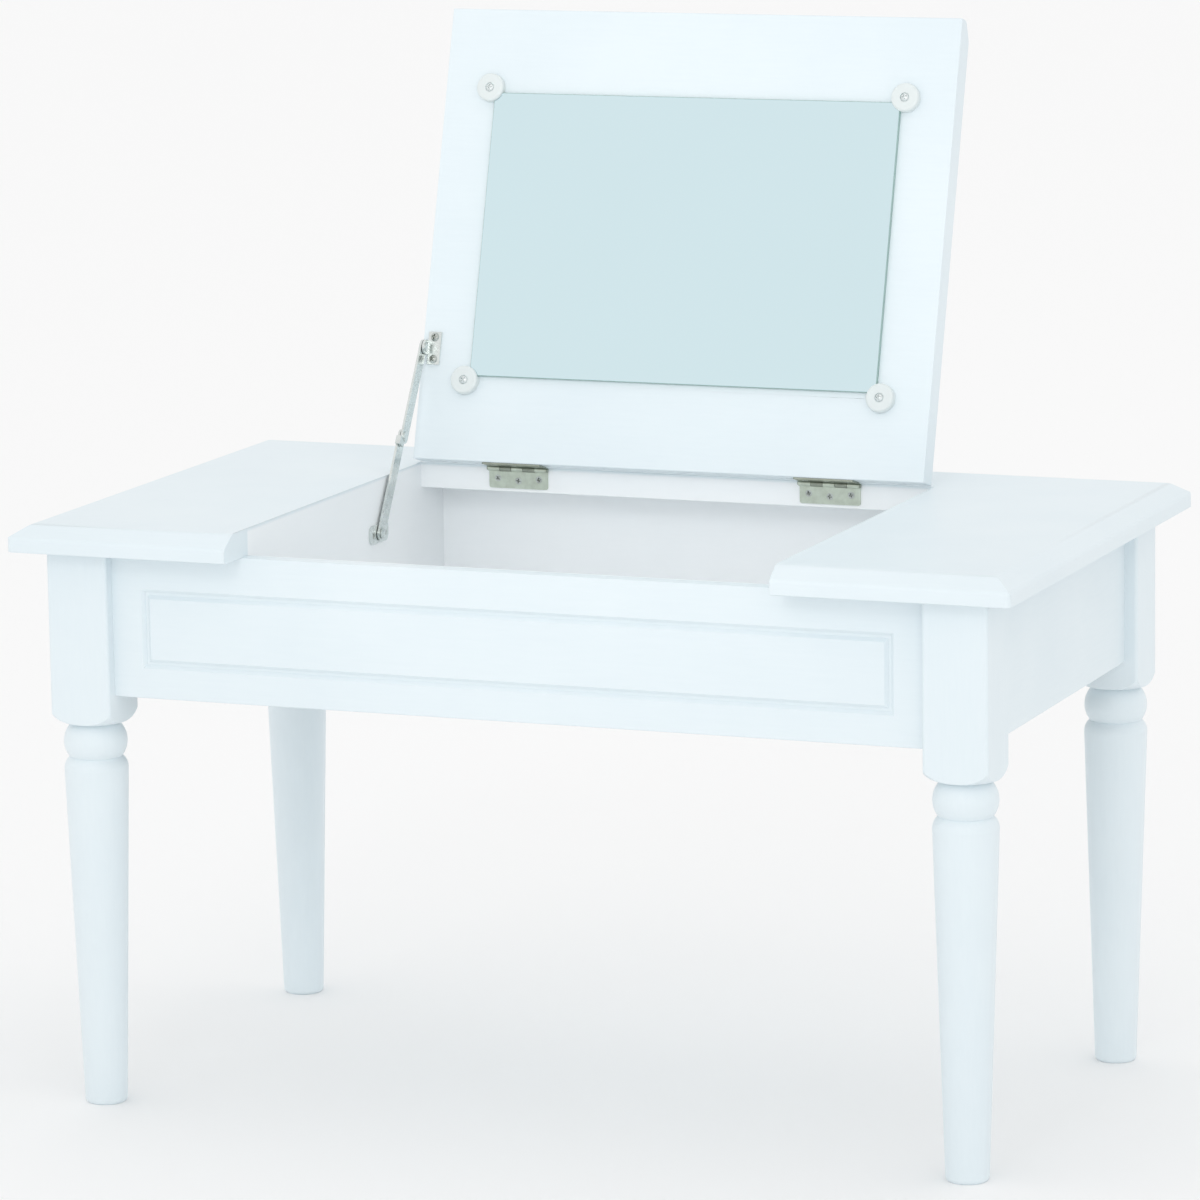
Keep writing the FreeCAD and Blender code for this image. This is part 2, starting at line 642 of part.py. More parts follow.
def make_lid_panel():
    """The lid board, with the moulding along its free edge."""
    body = new_body("lid_panel")
    sketch = new_sketch(body, "XY_Plane", "lid_outline", "lid_under")
    rectangle(sketch, "-lid_half", "-lid_reach", "lid_half", "-half_gap")
    pad(body, sketch, "top_thick")
    mould(body, value("lid_upper"), value("lid_reach"))

    def hinge_edge(edge):
        box = edge.BoundBox
        at_hinge = near(box.YMin, value("-half_gap")) and near(box.YMax, value("-half_gap"))
        return at_hinge and box.XLength > 1

    ease(body, "hinge_edges", hinge_edge, "edge_ease")
    for side in ("-", ""):
        drill_hinge_pilots(body, side, f"{side}Sizes.hinge_spacing", "-half_gap", "0", 90)
    for name, x, y, turn in clip_places():
        drill(body, f"clip_pilot_{name}", (x, y, "lid_under"), Z, 0,
              "Sizes.round_screw_shank / 2", "round_screw_bite")
    for end in (-1, 1):
        drill(body, f"stay_pilot_{'far' if end < 0 else 'near'}",
              (stay_foot_middle(), f"Places.stay_lid_y + {end} * Sizes.stay_foot_screw_reach",
               "lid_under"),
              Z, 0, "Sizes.round_screw_shank / 2", "round_screw_bite")
    put(body, LID_STEP)


# ---------------------------------------------------------------- legs and their corner blocks

def corners():
    """The four corners: name, leg centre and the turn that faces the leg inwards."""
    return [
        ("front_left", "-leg_across", "-leg_back", 0),
        ("front_right", "leg_across", "-leg_back", 90),
        ("back_right", "leg_across", "leg_back", 180),
        ("back_left", "-leg_across", "leg_back", 270),
    ]


DIAGONAL_AXIS = FreeCAD.Vector(-1, 1, 0)


def make_leg(name, x, y, turn):
    """One turned leg: a square block over neck, bead, waist and tapered shaft."""
    body = new_body(f"{name}_leg")
    section = new_sketch(body, "XY_Plane", "block_section", "neck_height")
    rectangle(section, "-block_half", "-block_half", "block_half", "block_half")
    pad(body, section, "block_length", "block")
    ease(body, "block_edges", upright, "block_ease")

    round_end = new_sketch(body, "XZ_Plane", "pommel_curve")
    outline(round_end, [
        ("neck_radius", "neck_height", "pommel_radius", -1),
        ("pommel_out", "pommel_height"),
        ("pommel_far", "pommel_height"), ("pommel_far", "neck_height")])
    doc.recompute()
    before = body.Tip.Shape.Volume
    groove = body.newObject("PartDesign::Groove", "pommel")
    groove.Profile = round_end
    groove.ReferenceAxis = (round_end, ["V_Axis"])
    groove.Angle = 360
    doc.recompute()
    if groove.Shape.Volume >= before:
        raise RuntimeError(f"{name} leg's pommel cut nothing")

    turning = new_sketch(body, "XZ_Plane", "turned_profile")
    outline(turning, [
        ("0", "0"),
        ("foot_face_radius", "0", "foot_round_radius", -1),
        ("foot_radius", "foot_round_height"),
        ("shaft_radius", "shaft_height", "shaft_round_radius", -1),
        ("waist_radius", "waist_height", "bead_radius", -1),
        ("neck_radius", "neck_height"),
        ("0", "neck_height")])
    shaft = body.newObject("PartDesign::Revolution", "shaft")
    shaft.Profile = turning
    shaft.ReferenceAxis = (turning, ["V_Axis"])
    shaft.Angle = 360
    doc.recompute()

    flat = new_sketch(body, "XY_Plane", "inner_flat", "apron_bottom")
    outline(flat, [
        ("block_half", "flat_start"),
        ("block_half", "block_half"),
        ("flat_start", "block_half")])
    pocket(body, flat, "apron_height", "flat", reversed_=True)
    drill(body, "bolt_hole",
          ("Places.corner_out / 2 - Sizes.bolt_in_leg * sqrt(0.5)",
           "Places.corner_out / 2 - Sizes.bolt_in_leg * sqrt(0.5)", "bolt_height"),
          DIAGONAL_AXIS, 90, "Sizes.bolt_diameter / 2", "Sizes.bolt_in_leg + Sizes.leg_flat")
    put(body, dict(x=x, y=y, axis=Z, angle=turn))


def make_corner_block(name, x, y, turn):
    """The glued block behind a leg, drilled for its bolt and for the two top screws."""
    body = new_body(f"{name}_corner_block")
    sketch = new_sketch(body, "XY_Plane", "block_outline", "corner_bottom")
    outline(sketch, [
        ("corner_start", "-apron_in"), ("corner_end", "-apron_in"),
        ("-apron_in", "corner_end"), ("-apron_in", "corner_start")])
    pad(body, sketch, "block_height")
    drill(body, "bolt_hole", ("Places.corner_out / 2 - 1", "Places.corner_out / 2 - 1", "bolt_height"),
          DIAGONAL_AXIS, 90, "Sizes.bolt_diameter / 2 + Sizes.bolt_clearance",
          "Sizes.block_thick + 4")
    for side in (-1, 1):
        drill(body, f"screw_hole_{'a' if side < 0 else 'b'}",
              (screw_offset(side), screw_offset(-side), "Places.corner_bottom - 1"), Z, 0,
              "Sizes.top_screw_shank / 2", "Sizes.block_height + 2")
    put(body, dict(x=x, y=y, axis=Z, angle=turn))


def screw_offset(side):
    """A top screw's place along one side of its corner block, as a formula."""
    sign = "+" if side > 0 else "-"
    return f"Places.corner_middle {sign} Sizes.top_screw_spread * sqrt(0.5)"


def corner_screw_places():
    """Name and place of every top screw as formulas."""
    result = []
    for name, x, y, turn in corners():
        for side in (-1, 1):
            first = screw_offset(side)
            second = screw_offset(-side)
            turned = {0: (first, second), 90: (f"-({second})", first),
                      180: (f"-({first})", f"-({second})"), 270: (second, f"-({first})")}[turn]
            result.append((f"{name}_{'a' if side < 0 else 'b'}",
                           f"{ref(x)} + {turned[0]}", f"{ref(y)} + {turned[1]}"))
    return result


def at_corners(shape):
    """Four copies of a shape that is drawn about a leg's centre."""
    return [moved(shape, value(x), value(y), 0, Z, turn) for name, x, y, turn in corners()]


def make_corner_fasteners():
    """Hanger bolts, washers, nuts and the screws that hold the top."""
    start = value("corner_out") / 2 - value("bolt_in_leg") * SLOPE_DIAGONAL
    height = value("bolt_height")
    along = FreeCAD.Vector(1, 1, 0).normalize()
    face = FreeCAD.Vector(value("corner_in") / 2, value("corner_in") / 2, height)
    length = (value("bolt_in_leg") + value("block_thick") + value("washer_thick")
              + value("nut_thick") + value("bolt_past_nut"))
    bolt = Part.makeCylinder(
        value("bolt_diameter") / 2, length, FreeCAD.Vector(start, start, height), along)
    group("hanger_bolts", at_corners(bolt))

    washer_hole = value("bolt_diameter") / 2 + value("bolt_clearance")
    washer = Part.makeCylinder(value("washer_diameter") / 2, value("washer_thick"), face, along)
    washer = washer.cut(Part.makeCylinder(washer_hole, value("washer_thick"), face, along))
    group("hanger_washers", at_corners(washer))

    seat = face + along * value("washer_thick")
    corner_radius = value("nut_across") / math.sqrt(3)
    ring = [FreeCAD.Vector(corner_radius * math.cos(math.radians(60 * step)),
                           corner_radius * math.sin(math.radians(60 * step)), 0)
            for step in range(7)]
    nut = Part.Face(Part.makePolygon(ring)).extrude(Z * value("nut_thick"))
    nut = nut.cut(Part.makeCylinder(value("bolt_diameter") / 2, value("nut_thick")))
    nut = moved(nut, seat.x, seat.y, seat.z, DIAGONAL_AXIS, 90)
    group("hanger_nuts", at_corners(nut))

    screw = round_screw(value("top_screw_shank") / 2, value("block_height") + value("top_screw_bite"),
                        value("top_screw_head") / 2, value("top_screw_rise"))
    screws = []
    for side in (-1, 1):
        offset = side * value("top_screw_spread") * SLOPE_DIAGONAL
        middle = value("corner_middle")
        screws += at_corners(moved(
            screw, middle + offset, middle - offset, value("corner_bottom"), X, 180))
    group("top_screws", screws)


# ---------------------------------------------------------------- aprons and storage box

def make_board(name, half_length, height, thick):
    """An upright board: outer face at Y = 0, inner face at its thickness."""
    body = new_body(name)
    sketch = new_sketch(body, "XZ_Plane", "board_outline")
    rectangle(sketch, f"-{half_length}", "0", half_length, height)
    pad(body, sketch, thick, reversed_=True)
    return body


def make_aprons():
    """Four aprons; front and back hold the storage box in housings and a floor groove."""
    for name, turn, y in (("front_apron", 0, "-apron_face_back"), ("back_apron", 180, "apron_face_back")):
        body = make_board(name, "front_apron_half", "apron_height", "apron_thick")
        if name == "front_apron":
            route_frame(body)
        inner = "Sizes.apron_thick - Sizes.housing_depth"
        for side, left in (("left", "-Places.wall_out"), ("right", "Places.box_half")):
            cut_box(body, f"housing_{side}", (left, inner, "0"),
                    ("box_wall_thick", "housing_depth", "apron_height"))
        cut_box(body, "floor_groove", ("-Places.box_half", inner, "floor_lift"),
                ("box_width", "housing_depth", "groove_height"))
        put(body, dict(y=y, z="apron_bottom", axis=Z, angle=turn))
    for name, turn, x in (("left_apron", -90, "-apron_face_across"),
                          ("right_apron", 90, "apron_face_across")):
        body = make_board(name, "side_apron_half", "apron_height", "apron_thick")
        put(body, dict(x=x, z="apron_bottom", axis=Z, angle=turn))


def route_frame(body):
    """A routed line that runs round the front apron as a rectangle with mitred corners."""
    sketch = new_sketch(body, "XZ_Plane", "routed_line")
    rectangle(sketch, "-route_left", "route_low", "route_left", "route_high")
    rectangle(sketch, "-route_left_in", "route_low_in", "route_left_in", "route_high_in")
    pocket(body, sketch, "routing_depth", "routed_groove", reversed_=False)

    def rim(edge):
        box = edge.BoundBox
        on_face = near(box.YMin, 0) and near(box.YMax, 0)
        inside = (max(abs(box.XMin), abs(box.XMax)) < value("route_left") + 1e-4
                  and box.ZMin > value("route_low") - 1e-4
                  and box.ZMax < value("route_high") + 1e-4)
        return on_face and inside

    bevel(body, "routed_bevels", rim, "routing_bevel")


def make_box():
    """Two walls and a floor that make the storage box between the aprons."""
    for name, turn, x in (("left_box_wall", -90, "-wall_out"), ("right_box_wall", 90, "wall_out")):
        body = make_board(name, "wall_half", "apron_height", "box_wall_thick")
        cut_box(body, "floor_groove",
                ("-Places.wall_half", "Sizes.box_wall_thick - Sizes.housing_depth", "floor_lift"),
                ("2 * Places.wall_half", "housing_depth", "groove_height"))
        if name == "left_box_wall":
            for end in (-1, 1):
                drill(body, f"stay_pilot_{'front' if end < 0 else 'back'}",
                      (stay_wall_screw(end), "box_wall_thick",
                       "Places.stay_wall_height - Places.apron_bottom"),
                      X, 90, "Sizes.round_screw_shank / 2", "round_screw_bite")
        put(body, dict(x=x, z="apron_bottom", axis=Z, angle=turn))
    body = new_body("box_floor")
    sketch = new_sketch(body, "XY_Plane", "floor_outline", "floor_height")
    rectangle(sketch, "-floor_half_width", "-floor_half_depth", "floor_half_width", "floor_half_depth")
    pad(body, sketch, "floor_thick")
    put(body, {})


def stay_wall_screw(end):
    """A wall plate screw's place along the left box wall, as a formula."""
    sign = "+" if end > 0 else "-"
    return f"-(Places.stay_wall_back {sign} Sizes.stay_wall_screw_reach)"


# ---------------------------------------------------------------- hinges

def knuckle_notches(body, kept):
    """Cut away the knuckles that belong to the other leaf."""
    for number in range(KNUCKLES):
        if number in kept:
            continue
        left = f"-Places.leaf_half + {number} * Places.knuckle_pitch - Sizes.knuckle_gap / 2"
        cut_box(body, f"notch_{number}",
                (left, "-Sizes.hinge_gap", "-Places.knuckle_radius - Sizes.knuckle_gap"),
                ("Places.knuckle_pitch + Sizes.knuckle_gap", "2 * Sizes.hinge_gap",
                 "2 * Places.knuckle_radius + 2 * Sizes.knuckle_gap"))


def make_leaf(name, side, kept, bore, steps):
    """One hinge leaf about the pin: plate towards -Z, knuckles round X, countersunk holes.
    The plate's back lies on the wood, on the +Y side for the rail and on -Y for the lid."""
    body = new_body(name)
    sketch = new_sketch(body, "XZ_Plane", "plate_outline", "-half_gap" if side > 0 else "leaf_inner")
    rectangle(sketch, "-leaf_half", "-leaf_length", "leaf_half", "0")
    pad(body, sketch, "leaf_thick", "plate")

    def outer_corner(edge):
        box = edge.BoundBox
        across = box.YLength > 0.1 and box.XLength < 1e-4 and box.ZLength < 1e-4
        return across and near(box.ZMin, value("-leaf_length"))

    ease(body, "outer_corners", outer_corner, "leaf_round")
    barrel = body.newObject("PartDesign::AdditiveCylinder", "barrel")
    bind(barrel, Radius="knuckle_radius", Height="hinge_width")
    put(barrel, dict(x="-leaf_half", axis=Y, angle=90))
    knuckle_notches(body, kept)
    drill(body, "bore", ("-Places.leaf_half - 1", 0, 0), Y, 90, bore, "Sizes.hinge_width + 2")
    turn = -90 if side > 0 else 90
    sign = "" if side > 0 else "-"
    for number in (1, 2, 3):
        at = (spread_formula(number), f"{sign}Places.leaf_inner", f"-({drop_formula(number)})")
        drill(body, f"screw_hole_{number}", at, X, turn,
              "Sizes.hinge_screw_shank / 2", "2 * Sizes.leaf_thick")
        countersink(body, f"countersink_{number}", at, X, turn, "Sizes.hinge_screw_head / 2",
                    "Sizes.hinge_screw_shank / 2",
                    "(Sizes.hinge_screw_head - Sizes.hinge_screw_shank) / 2")
    put(body, *steps)


def make_hinges():
    """Two butt hinges: a leaf on the rail, a leaf on the lid, a pin, and their screws."""
    for name, side in (("left_hinge", "-"), ("right_hinge", "")):
        centre = side + "hinge_spacing"
        make_leaf(f"{name}_rail_leaf", 1, (0, 2, 4), "pin_radius",
                  [dict(x=centre, y="pin_back", z="pin_height")])
        make_leaf(f"{name}_lid_leaf", -1, (1, 3), "Places.pin_radius + Sizes.pin_clearance",
                  [LID_STEP, dict(x=centre)])
        body = new_body(f"{name}_pin")
        sketch = new_sketch(body, "YZ_Plane", "pin_section")
        circle(sketch, "0", "0", "pin_radius")
        pad(body, sketch, "Sizes.hinge_width", "pin", midplane=True)
        for end, face in (("near", "Places.leaf_half"), ("far", "-Places.leaf_half - Sizes.pin_head")):
            head = body.newObject("PartDesign::AdditiveCylinder", f"{end}_head")
            bind(head, Radius="Places.pin_radius + Sizes.pin_head / 2", Height="pin_head")
            put(head, dict(x=face, axis=Y, angle=90))
        put(body, dict(x=centre, y="pin_back", z="pin_height"))

    screw = flat_screw(value("hinge_screw_shank") / 2, value("hinge_screw_length"),
                       value("hinge_screw_head") / 2)
    rail_screws = []
    lid_screws = []
    for side in (-1, 1):
        for number, spread, drop in hinge_screw_pattern():
            across = side * value("hinge_spacing") + spread
            rail_screws.append(moved(
                screw, across, value("pin_back") + value("leaf_inner"),
                value("pin_height") - drop, X, 90))
            lid_screws.append(moved(screw, across, -value("leaf_inner"), -drop, X, -90))
    group("hinge_rail_screws", rail_screws)
    group("hinge_lid_screws", lid_screws, LID_STEP)


# ---------------------------------------------------------------- mirror and clips

def clip_places():
    """The four clips: name, place about the hinge pin, and the turn of their seat."""
    return [
        ("lower_left", "-clip_across", "-clip_near", 0),
        ("upper_left", "-clip_across", "-clip_far", 90),
        ("upper_right", "clip_across", "-clip_far", 180),
        ("lower_right", "clip_across", "-clip_near", 270),
    ]


def make_mirror():
    """The glass, four round clips over its corners, and the clips' screws."""
    body = new_body("mirror_glass")
    sketch = new_sketch(body, "XY_Plane", "glass_outline", "mirror_face")
    rectangle(sketch, "-mirror_half_width", "-mirror_far", "mirror_half_width", "-mirror_near")
    pad(body, sketch, "mirror_thick", "glass")

    def front_rim(edge):
        return at_height(edge, value("mirror_face"))

    bevel(body, "ground_edge", front_rim, "mirror_ease")
    put(body, LID_STEP)

    for name, x, y, turn in clip_places():
        make_clip(name, x, y, turn)
    recess = value("clip_screw_recess")
    length = value("clip_thick") - recess + value("round_screw_bite")
    screw = round_screw(value("round_screw_shank") / 2, length,
                        value("round_screw_head") / 2, value("round_screw_rise"))
    seat = value("lid_under") - value("clip_thick") + recess
    screws = [moved(screw, value(x), value(y), seat, X, 180) for name, x, y, turn in clip_places()]
    group("mirror_clip_screws", screws, LID_STEP)


def make_clip(name, x, y, turn):
    """A round clip under the lid's underside, with a square seat for the glass corner."""
    body = new_body(f"{name}_mirror_clip")
    sketch = new_sketch(body, "XY_Plane", "clip_outline")
    circle(sketch, "0", "0", "clip_radius")
    pad(body, sketch, "clip_thick", "disc", reversed_=True)

    def outer_rim(edge):
        return at_height(edge, -value("clip_thick"))

    ease(body, "rim", outer_rim, "clip_round")
    cut_box(body, "glass_seat",
            ("Sizes.clip_offset - Sizes.clip_gap",
             "-Places.clip_radius", "-Sizes.mirror_thick - Sizes.clip_gap"),
            ("clip_radius", "Places.clip_radius - Sizes.clip_offset + Sizes.clip_gap",
             "Sizes.mirror_thick + Sizes.clip_gap"))
    drill(body, "screw_hole", (0, 0, 0), X, 180, "Sizes.round_screw_shank / 2", "clip_thick")
    drill(body, "screw_seat", (0, 0, "-Places.clip_thick + Sizes.clip_screw_recess"), X, 180,
          "Sizes.round_screw_head / 2 + Sizes.clip_gap", "clip_screw_recess")
    put(body, LID_STEP, dict(x=x, y=y, z="lid_under", axis=Z, angle=turn))


# ---------------------------------------------------------------- lid stay

def stay_foot_middle():
    """Middle of the lid bracket's foot, side to side, as a formula."""
    return "-Places.stay_ear_layer + Sizes.stay_foot_width / 2"


def make_bar(body, length, thick, name="bar"):
    """A flat bar with round ends in the YZ plane: from the origin along +Y, towards +X."""
    sketch = new_sketch(body, "YZ_Plane", f"{name}_outline")
    half = "stay_arm_half"
    rectangle(sketch, "0", f"-{half}", length, half)
    pad(body, sketch, thick, name)
    for end, along in (("near", "0"), ("far", length)):
        eye = body.newObject("PartDesign::AdditiveCylinder", f"{name}_{end}_end")
        bind(eye, Radius=half, Height=thick)
        put(eye, dict(y=along, axis=Y, angle=90))
    doc.recompute()


def pivot_hole(body, name, along, thick, radius):
    """A round hole through a bar at a distance along it."""
    drill(body, name, ("-1", along, 0), Y, 90, radius, f"{ref(thick)} + 2")


def rivet_shape(shank, head_at_low=True, head_at_high=True):
    """A rivet along +X from X = 0: a shank with a domed head on one or both ends."""
    radius = value("rivet_radius")
    head = domed_head(value("rivet_head") / 2, value("rivet_rise"))
    shape = Part.makeCylinder(radius, shank, FreeCAD.Vector(0, 0, 0), X)
    if head_at_high:
        shape = shape.fuse(moved(head, shank, 0, 0, Y, 90))
    if head_at_low:
        shape = shape.fuse(moved(head, 0, 0, 0, Y, -90))
    return shape.removeSplitter()


def make_stay():
    """The folding stay at the left end: wall plate, two arms, lid bracket, rivets, screws."""
    make_stay_wall_plate()
    make_stay_arms()
    make_stay_lid_bracket()


def make_stay_wall_plate():
    """The plate on the box wall, its rivet and its two screws."""
    body = new_body("stay_wall_plate")
    sketch = new_sketch(body, "YZ_Plane", "plate_outline")
    rectangle(sketch, "-stay_plate_half_length", "-stay_plate_half_height",
              "stay_plate_half_length", "stay_plate_half_height")
    pad(body, sketch, "stay_plate_thick", "plate")

    def corner(edge):
        box = edge.BoundBox
        return box.XLength > 0.1 and box.YLength < 1e-4 and box.ZLength < 1e-4

    ease(body, "plate_corners", corner, "Sizes.stay_wall_plate_height / 3")
    drill(body, "rivet_hole", ("-1", 0, 0), Y, 90, "rivet_radius", "Sizes.stay_plate_thick + 2")
    for end in (-1, 1):
        side = "front" if end < 0 else "back"
        reach = f"{end} * Sizes.stay_wall_screw_reach"
        drill(body, f"screw_hole_{side}", ("-1", reach, 0), Y, 90,
              "Sizes.round_screw_shank / 2", "Sizes.stay_plate_thick + 2")
        countersink(body, f"countersink_{side}", ("stay_plate_thick", reach, 0), Y, -90,
                    "Sizes.stay_wall_screw_head / 2", "Sizes.round_screw_shank / 2",
                    "(Sizes.stay_wall_screw_head - Sizes.round_screw_shank) / 2")
    wall_step = dict(x="-box_half", y="stay_wall_back", z="stay_wall_height")
    put(body, wall_step)

    shank = (value("box_half") - value("stay_lower_layer") + value("stay_arm_thick")
             + value("rivet_play"))
    group("stay_wall_rivet", [rivet_shape(shank, head_at_low=False)], wall_step)
    screw = flat_screw(value("round_screw_shank") / 2,
                       value("round_screw_bite") + value("stay_plate_thick"),
                       value("stay_wall_screw_head") / 2)
    screws = [moved(screw, value("stay_plate_thick"), end * value("stay_wall_screw_reach"), 0, Y, 90)
              for end in (-1, 1)]
    group("stay_wall_screws", screws, wall_step)


def make_stay_arms():
    """Lower arm on the wall plate and upper arm on the lid bracket, straight when open.
    The elbow rivet is in two halves, one on each arm."""
    lower = new_body("stay_lower_arm")
    make_bar(lower, "stay_lower_length", "stay_arm_thick")
    running = "Places.rivet_radius + Sizes.pin_clearance"
    pivot_hole(lower, "wall_pivot", "0", "stay_arm_thick", running)
    pivot_hole(lower, "elbow_pivot", "stay_lower_length", "stay_arm_thick", "rivet_radius")
    lower_step = dict(x="-stay_lower_layer", y="stay_wall_back", z="stay_wall_height",
                      axis=X, angle="stay_slope")
    put(lower, lower_step)

    upper = new_body("stay_upper_arm")
    make_bar(upper, "stay_upper_length", "stay_arm_thick")
    tab = upper.newObject("PartDesign::AdditiveBox", "tab_arm")
    bind(tab, Length="stay_arm_thick", Width="stay_tab_length",
         Height="Places.stay_arm_half + Sizes.stay_tab_gap + Sizes.stay_tab_thick")
    put(tab, dict(y="-Sizes.stay_tab_reach"))
    lug = upper.newObject("PartDesign::AdditiveBox", "tab_lug")
    bind(lug, Length="2 * Sizes.stay_arm_thick + Sizes.stay_gap", Width="stay_tab_length",
         Height="stay_tab_thick")
    put(lug, dict(x="-Sizes.stay_arm_thick - Sizes.stay_gap", y="-Sizes.stay_tab_reach",
                  z="Places.stay_arm_half + Sizes.stay_tab_gap"))
    pivot_hole(upper, "elbow_pivot", "0", "stay_arm_thick", "rivet_radius")
    pivot_hole(upper, "lid_pivot", "stay_upper_length", "stay_arm_thick", running)
    upper_step = dict(x="-stay_upper_layer", y="stay_elbow_back", z="stay_elbow_height",
                      axis=X, angle="stay_slope")
    put(upper, upper_step)

    inner_half = rivet_shape(value("stay_arm_thick"), head_at_low=False)
    group("stay_elbow_rivet", [inner_half], upper_step)
    outer_half = rivet_shape(value("stay_arm_thick"), head_at_low=False, head_at_high=False)
    group("stay_elbow_tail", [outer_half], lower_step, dict(y="stay_lower_length"))


def make_stay_lid_bracket():
    """The angle bracket on the lid: foot, ear, rivet and two screws."""
    body = new_body("stay_lid_bracket")
    foot = body.newObject("PartDesign::AdditiveBox", "foot")
    bind(foot, Length="stay_foot_width", Width="stay_foot_length", Height="stay_plate_thick")
    put(foot, dict(y="-Sizes.stay_foot_length / 2", z="Sizes.stay_lid_stand - Sizes.stay_plate_thick"))
    ear = body.newObject("PartDesign::AdditiveBox", "ear")
    bind(ear, Length="stay_plate_thick", Width="stay_arm_width", Height="stay_lid_stand")
    put(ear, dict(y="-stay_arm_half"))
    eye = body.newObject("PartDesign::AdditiveCylinder", "ear_end")
    bind(eye, Radius="stay_arm_half", Height="stay_plate_thick")
    put(eye, dict(axis=Y, angle=90))
    drill(body, "rivet_hole", ("-1", 0, 0), Y, 90, "rivet_radius", "Sizes.stay_plate_thick + 2")
    for end in (-1, 1):
        drill(body, f"screw_hole_{'far' if end < 0 else 'near'}",
              ("Sizes.stay_foot_width / 2", f"{end} * Sizes.stay_foot_screw_reach", 0), Z, 0,
              "Sizes.round_screw_shank / 2", "Sizes.stay_lid_stand + 1")
    ear_step = dict(x="-stay_ear_layer", y="stay_lid_y", z="stay_lid_z")
    put(body, LID_STEP, ear_step)

    shank = (value("stay_upper_layer") - value("stay_ear_layer") + value("stay_plate_thick")
             + value("rivet_play"))
    group("stay_lid_rivet", [rivet_shape(shank)], LID_STEP,
          dict(x="-Places.stay_upper_layer - Sizes.rivet_play", y="stay_lid_y", z="stay_lid_z"))
    screw = round_screw(value("round_screw_shank") / 2,
                        value("round_screw_bite") + value("stay_plate_thick"),
                        value("round_screw_head") / 2, value("round_screw_rise"))
    seat = value("stay_lid_stand") - value("stay_plate_thick")
    screws = [moved(screw, value("stay_foot_width") / 2, end * value("stay_foot_screw_reach"),
                    seat, X, 180) for end in (-1, 1)]
    group("stay_lid_screws", screws, LID_STEP, ear_step)


# ---------------------------------------------------------------- assembly and files

def check_everything():
    """Stop if any object failed to compute or any sub-part has a bad shape."""
    for item in doc.Objects:
        if {"Invalid", "Error"} & set(item.State):
            raise RuntimeError(f"{item.Name} is {item.State}")
    for part in sub_parts:
        if part.Shape.isNull() or not part.Shape.isValid():
            raise RuntimeError(f"{part.Label} has no valid shape")
        if not part.Shape.Solids:
            raise RuntimeError(f"{part.Label} has no solid")


def write_files():
    """Write every sub-part to its own STEP file."""
    os.makedirs("parts", exist_ok=True)
    for part in sub_parts:
        part.Shape.exportStep(f"parts/{part.Label}.step")


make_top_frame()
make_lid_panel()
for corner in corners():
    make_leg(*corner)
    make_corner_block(*corner)
make_corner_fasteners()
make_aprons()
make_box()
make_hinges()
make_mirror()
make_stay()
doc.recompute()
check_everything()
write_files()
print(len(sub_parts), "sub-parts written")
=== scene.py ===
"""A low white vanity table with a lift-up lid and a mirror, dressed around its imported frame."""

import json
import math

import bmesh
import bpy
from bpy.props import FloatProperty, FloatVectorProperty, IntProperty, PointerProperty
from mathutils import Matrix, Vector

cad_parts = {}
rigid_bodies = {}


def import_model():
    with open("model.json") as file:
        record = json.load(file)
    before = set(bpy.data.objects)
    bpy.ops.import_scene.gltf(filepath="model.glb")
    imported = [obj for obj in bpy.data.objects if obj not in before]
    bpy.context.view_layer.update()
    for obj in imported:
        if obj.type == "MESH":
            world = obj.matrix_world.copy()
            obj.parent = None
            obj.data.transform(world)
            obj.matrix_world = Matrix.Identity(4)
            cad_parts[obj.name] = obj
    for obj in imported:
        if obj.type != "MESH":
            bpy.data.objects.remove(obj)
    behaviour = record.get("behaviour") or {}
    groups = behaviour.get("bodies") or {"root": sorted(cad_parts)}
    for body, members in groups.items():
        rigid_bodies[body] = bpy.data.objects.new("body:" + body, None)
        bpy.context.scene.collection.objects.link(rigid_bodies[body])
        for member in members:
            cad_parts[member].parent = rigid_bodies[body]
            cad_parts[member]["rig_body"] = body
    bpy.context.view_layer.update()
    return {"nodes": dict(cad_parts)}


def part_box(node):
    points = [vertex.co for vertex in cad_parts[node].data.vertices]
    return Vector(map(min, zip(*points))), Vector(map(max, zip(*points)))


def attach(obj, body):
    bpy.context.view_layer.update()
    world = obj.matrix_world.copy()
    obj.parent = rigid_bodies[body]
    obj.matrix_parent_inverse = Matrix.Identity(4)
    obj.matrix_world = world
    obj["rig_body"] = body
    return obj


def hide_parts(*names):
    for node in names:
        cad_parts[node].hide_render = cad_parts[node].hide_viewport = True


bl_info = {
    "name": "Vanity table",
    "version": (1, 0, 0),
    "blender": (4, 5, 0),
    "location": "View3D > Sidebar > Vanity table",
    "description": "Turns, paints, fits and lights a small vanity table around its fixed frame",
    "category": "Object",
}

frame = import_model()
NODES = frame["nodes"]

CORNERS = ("front_left", "front_right", "back_right", "back_left")
MIRROR_CORNERS = ("lower_left", "upper_left", "upper_right", "lower_right")
UP = Vector((0, 0, 1))
MICRON = 1e-6
# Edges nearer than this to the outside of a board count as lying on it.
HAIR = 1e-4
MOULDING_DEPTH = 0.016
# Painted light: the lighter paint inside the storage box starts to fade this far behind a face,
# is gone at the second distance, and stops the third distance under the top.
PAINTED_LIGHT_KEEPS, PAINTED_LIGHT_FADE, PAINTED_LIGHT_STOPS = 0.0005, 0.0025, 0.003
# A screw's cross cuts only the rows of its half section above this one.
RIM_ROW = 3
ROUND_HEAD_RISE, TOP_SCREW_RISE = 0.002, 0.0024
# How far the shapes that cut a leg reach past it, and its half section past its block.
SPARE, PAST_BLOCK = 0.01, 0.001
# Steps along the rounded edges of a leg's block and of a board.
BLOCK_STEPS, BOARD_STEPS = 6, 2
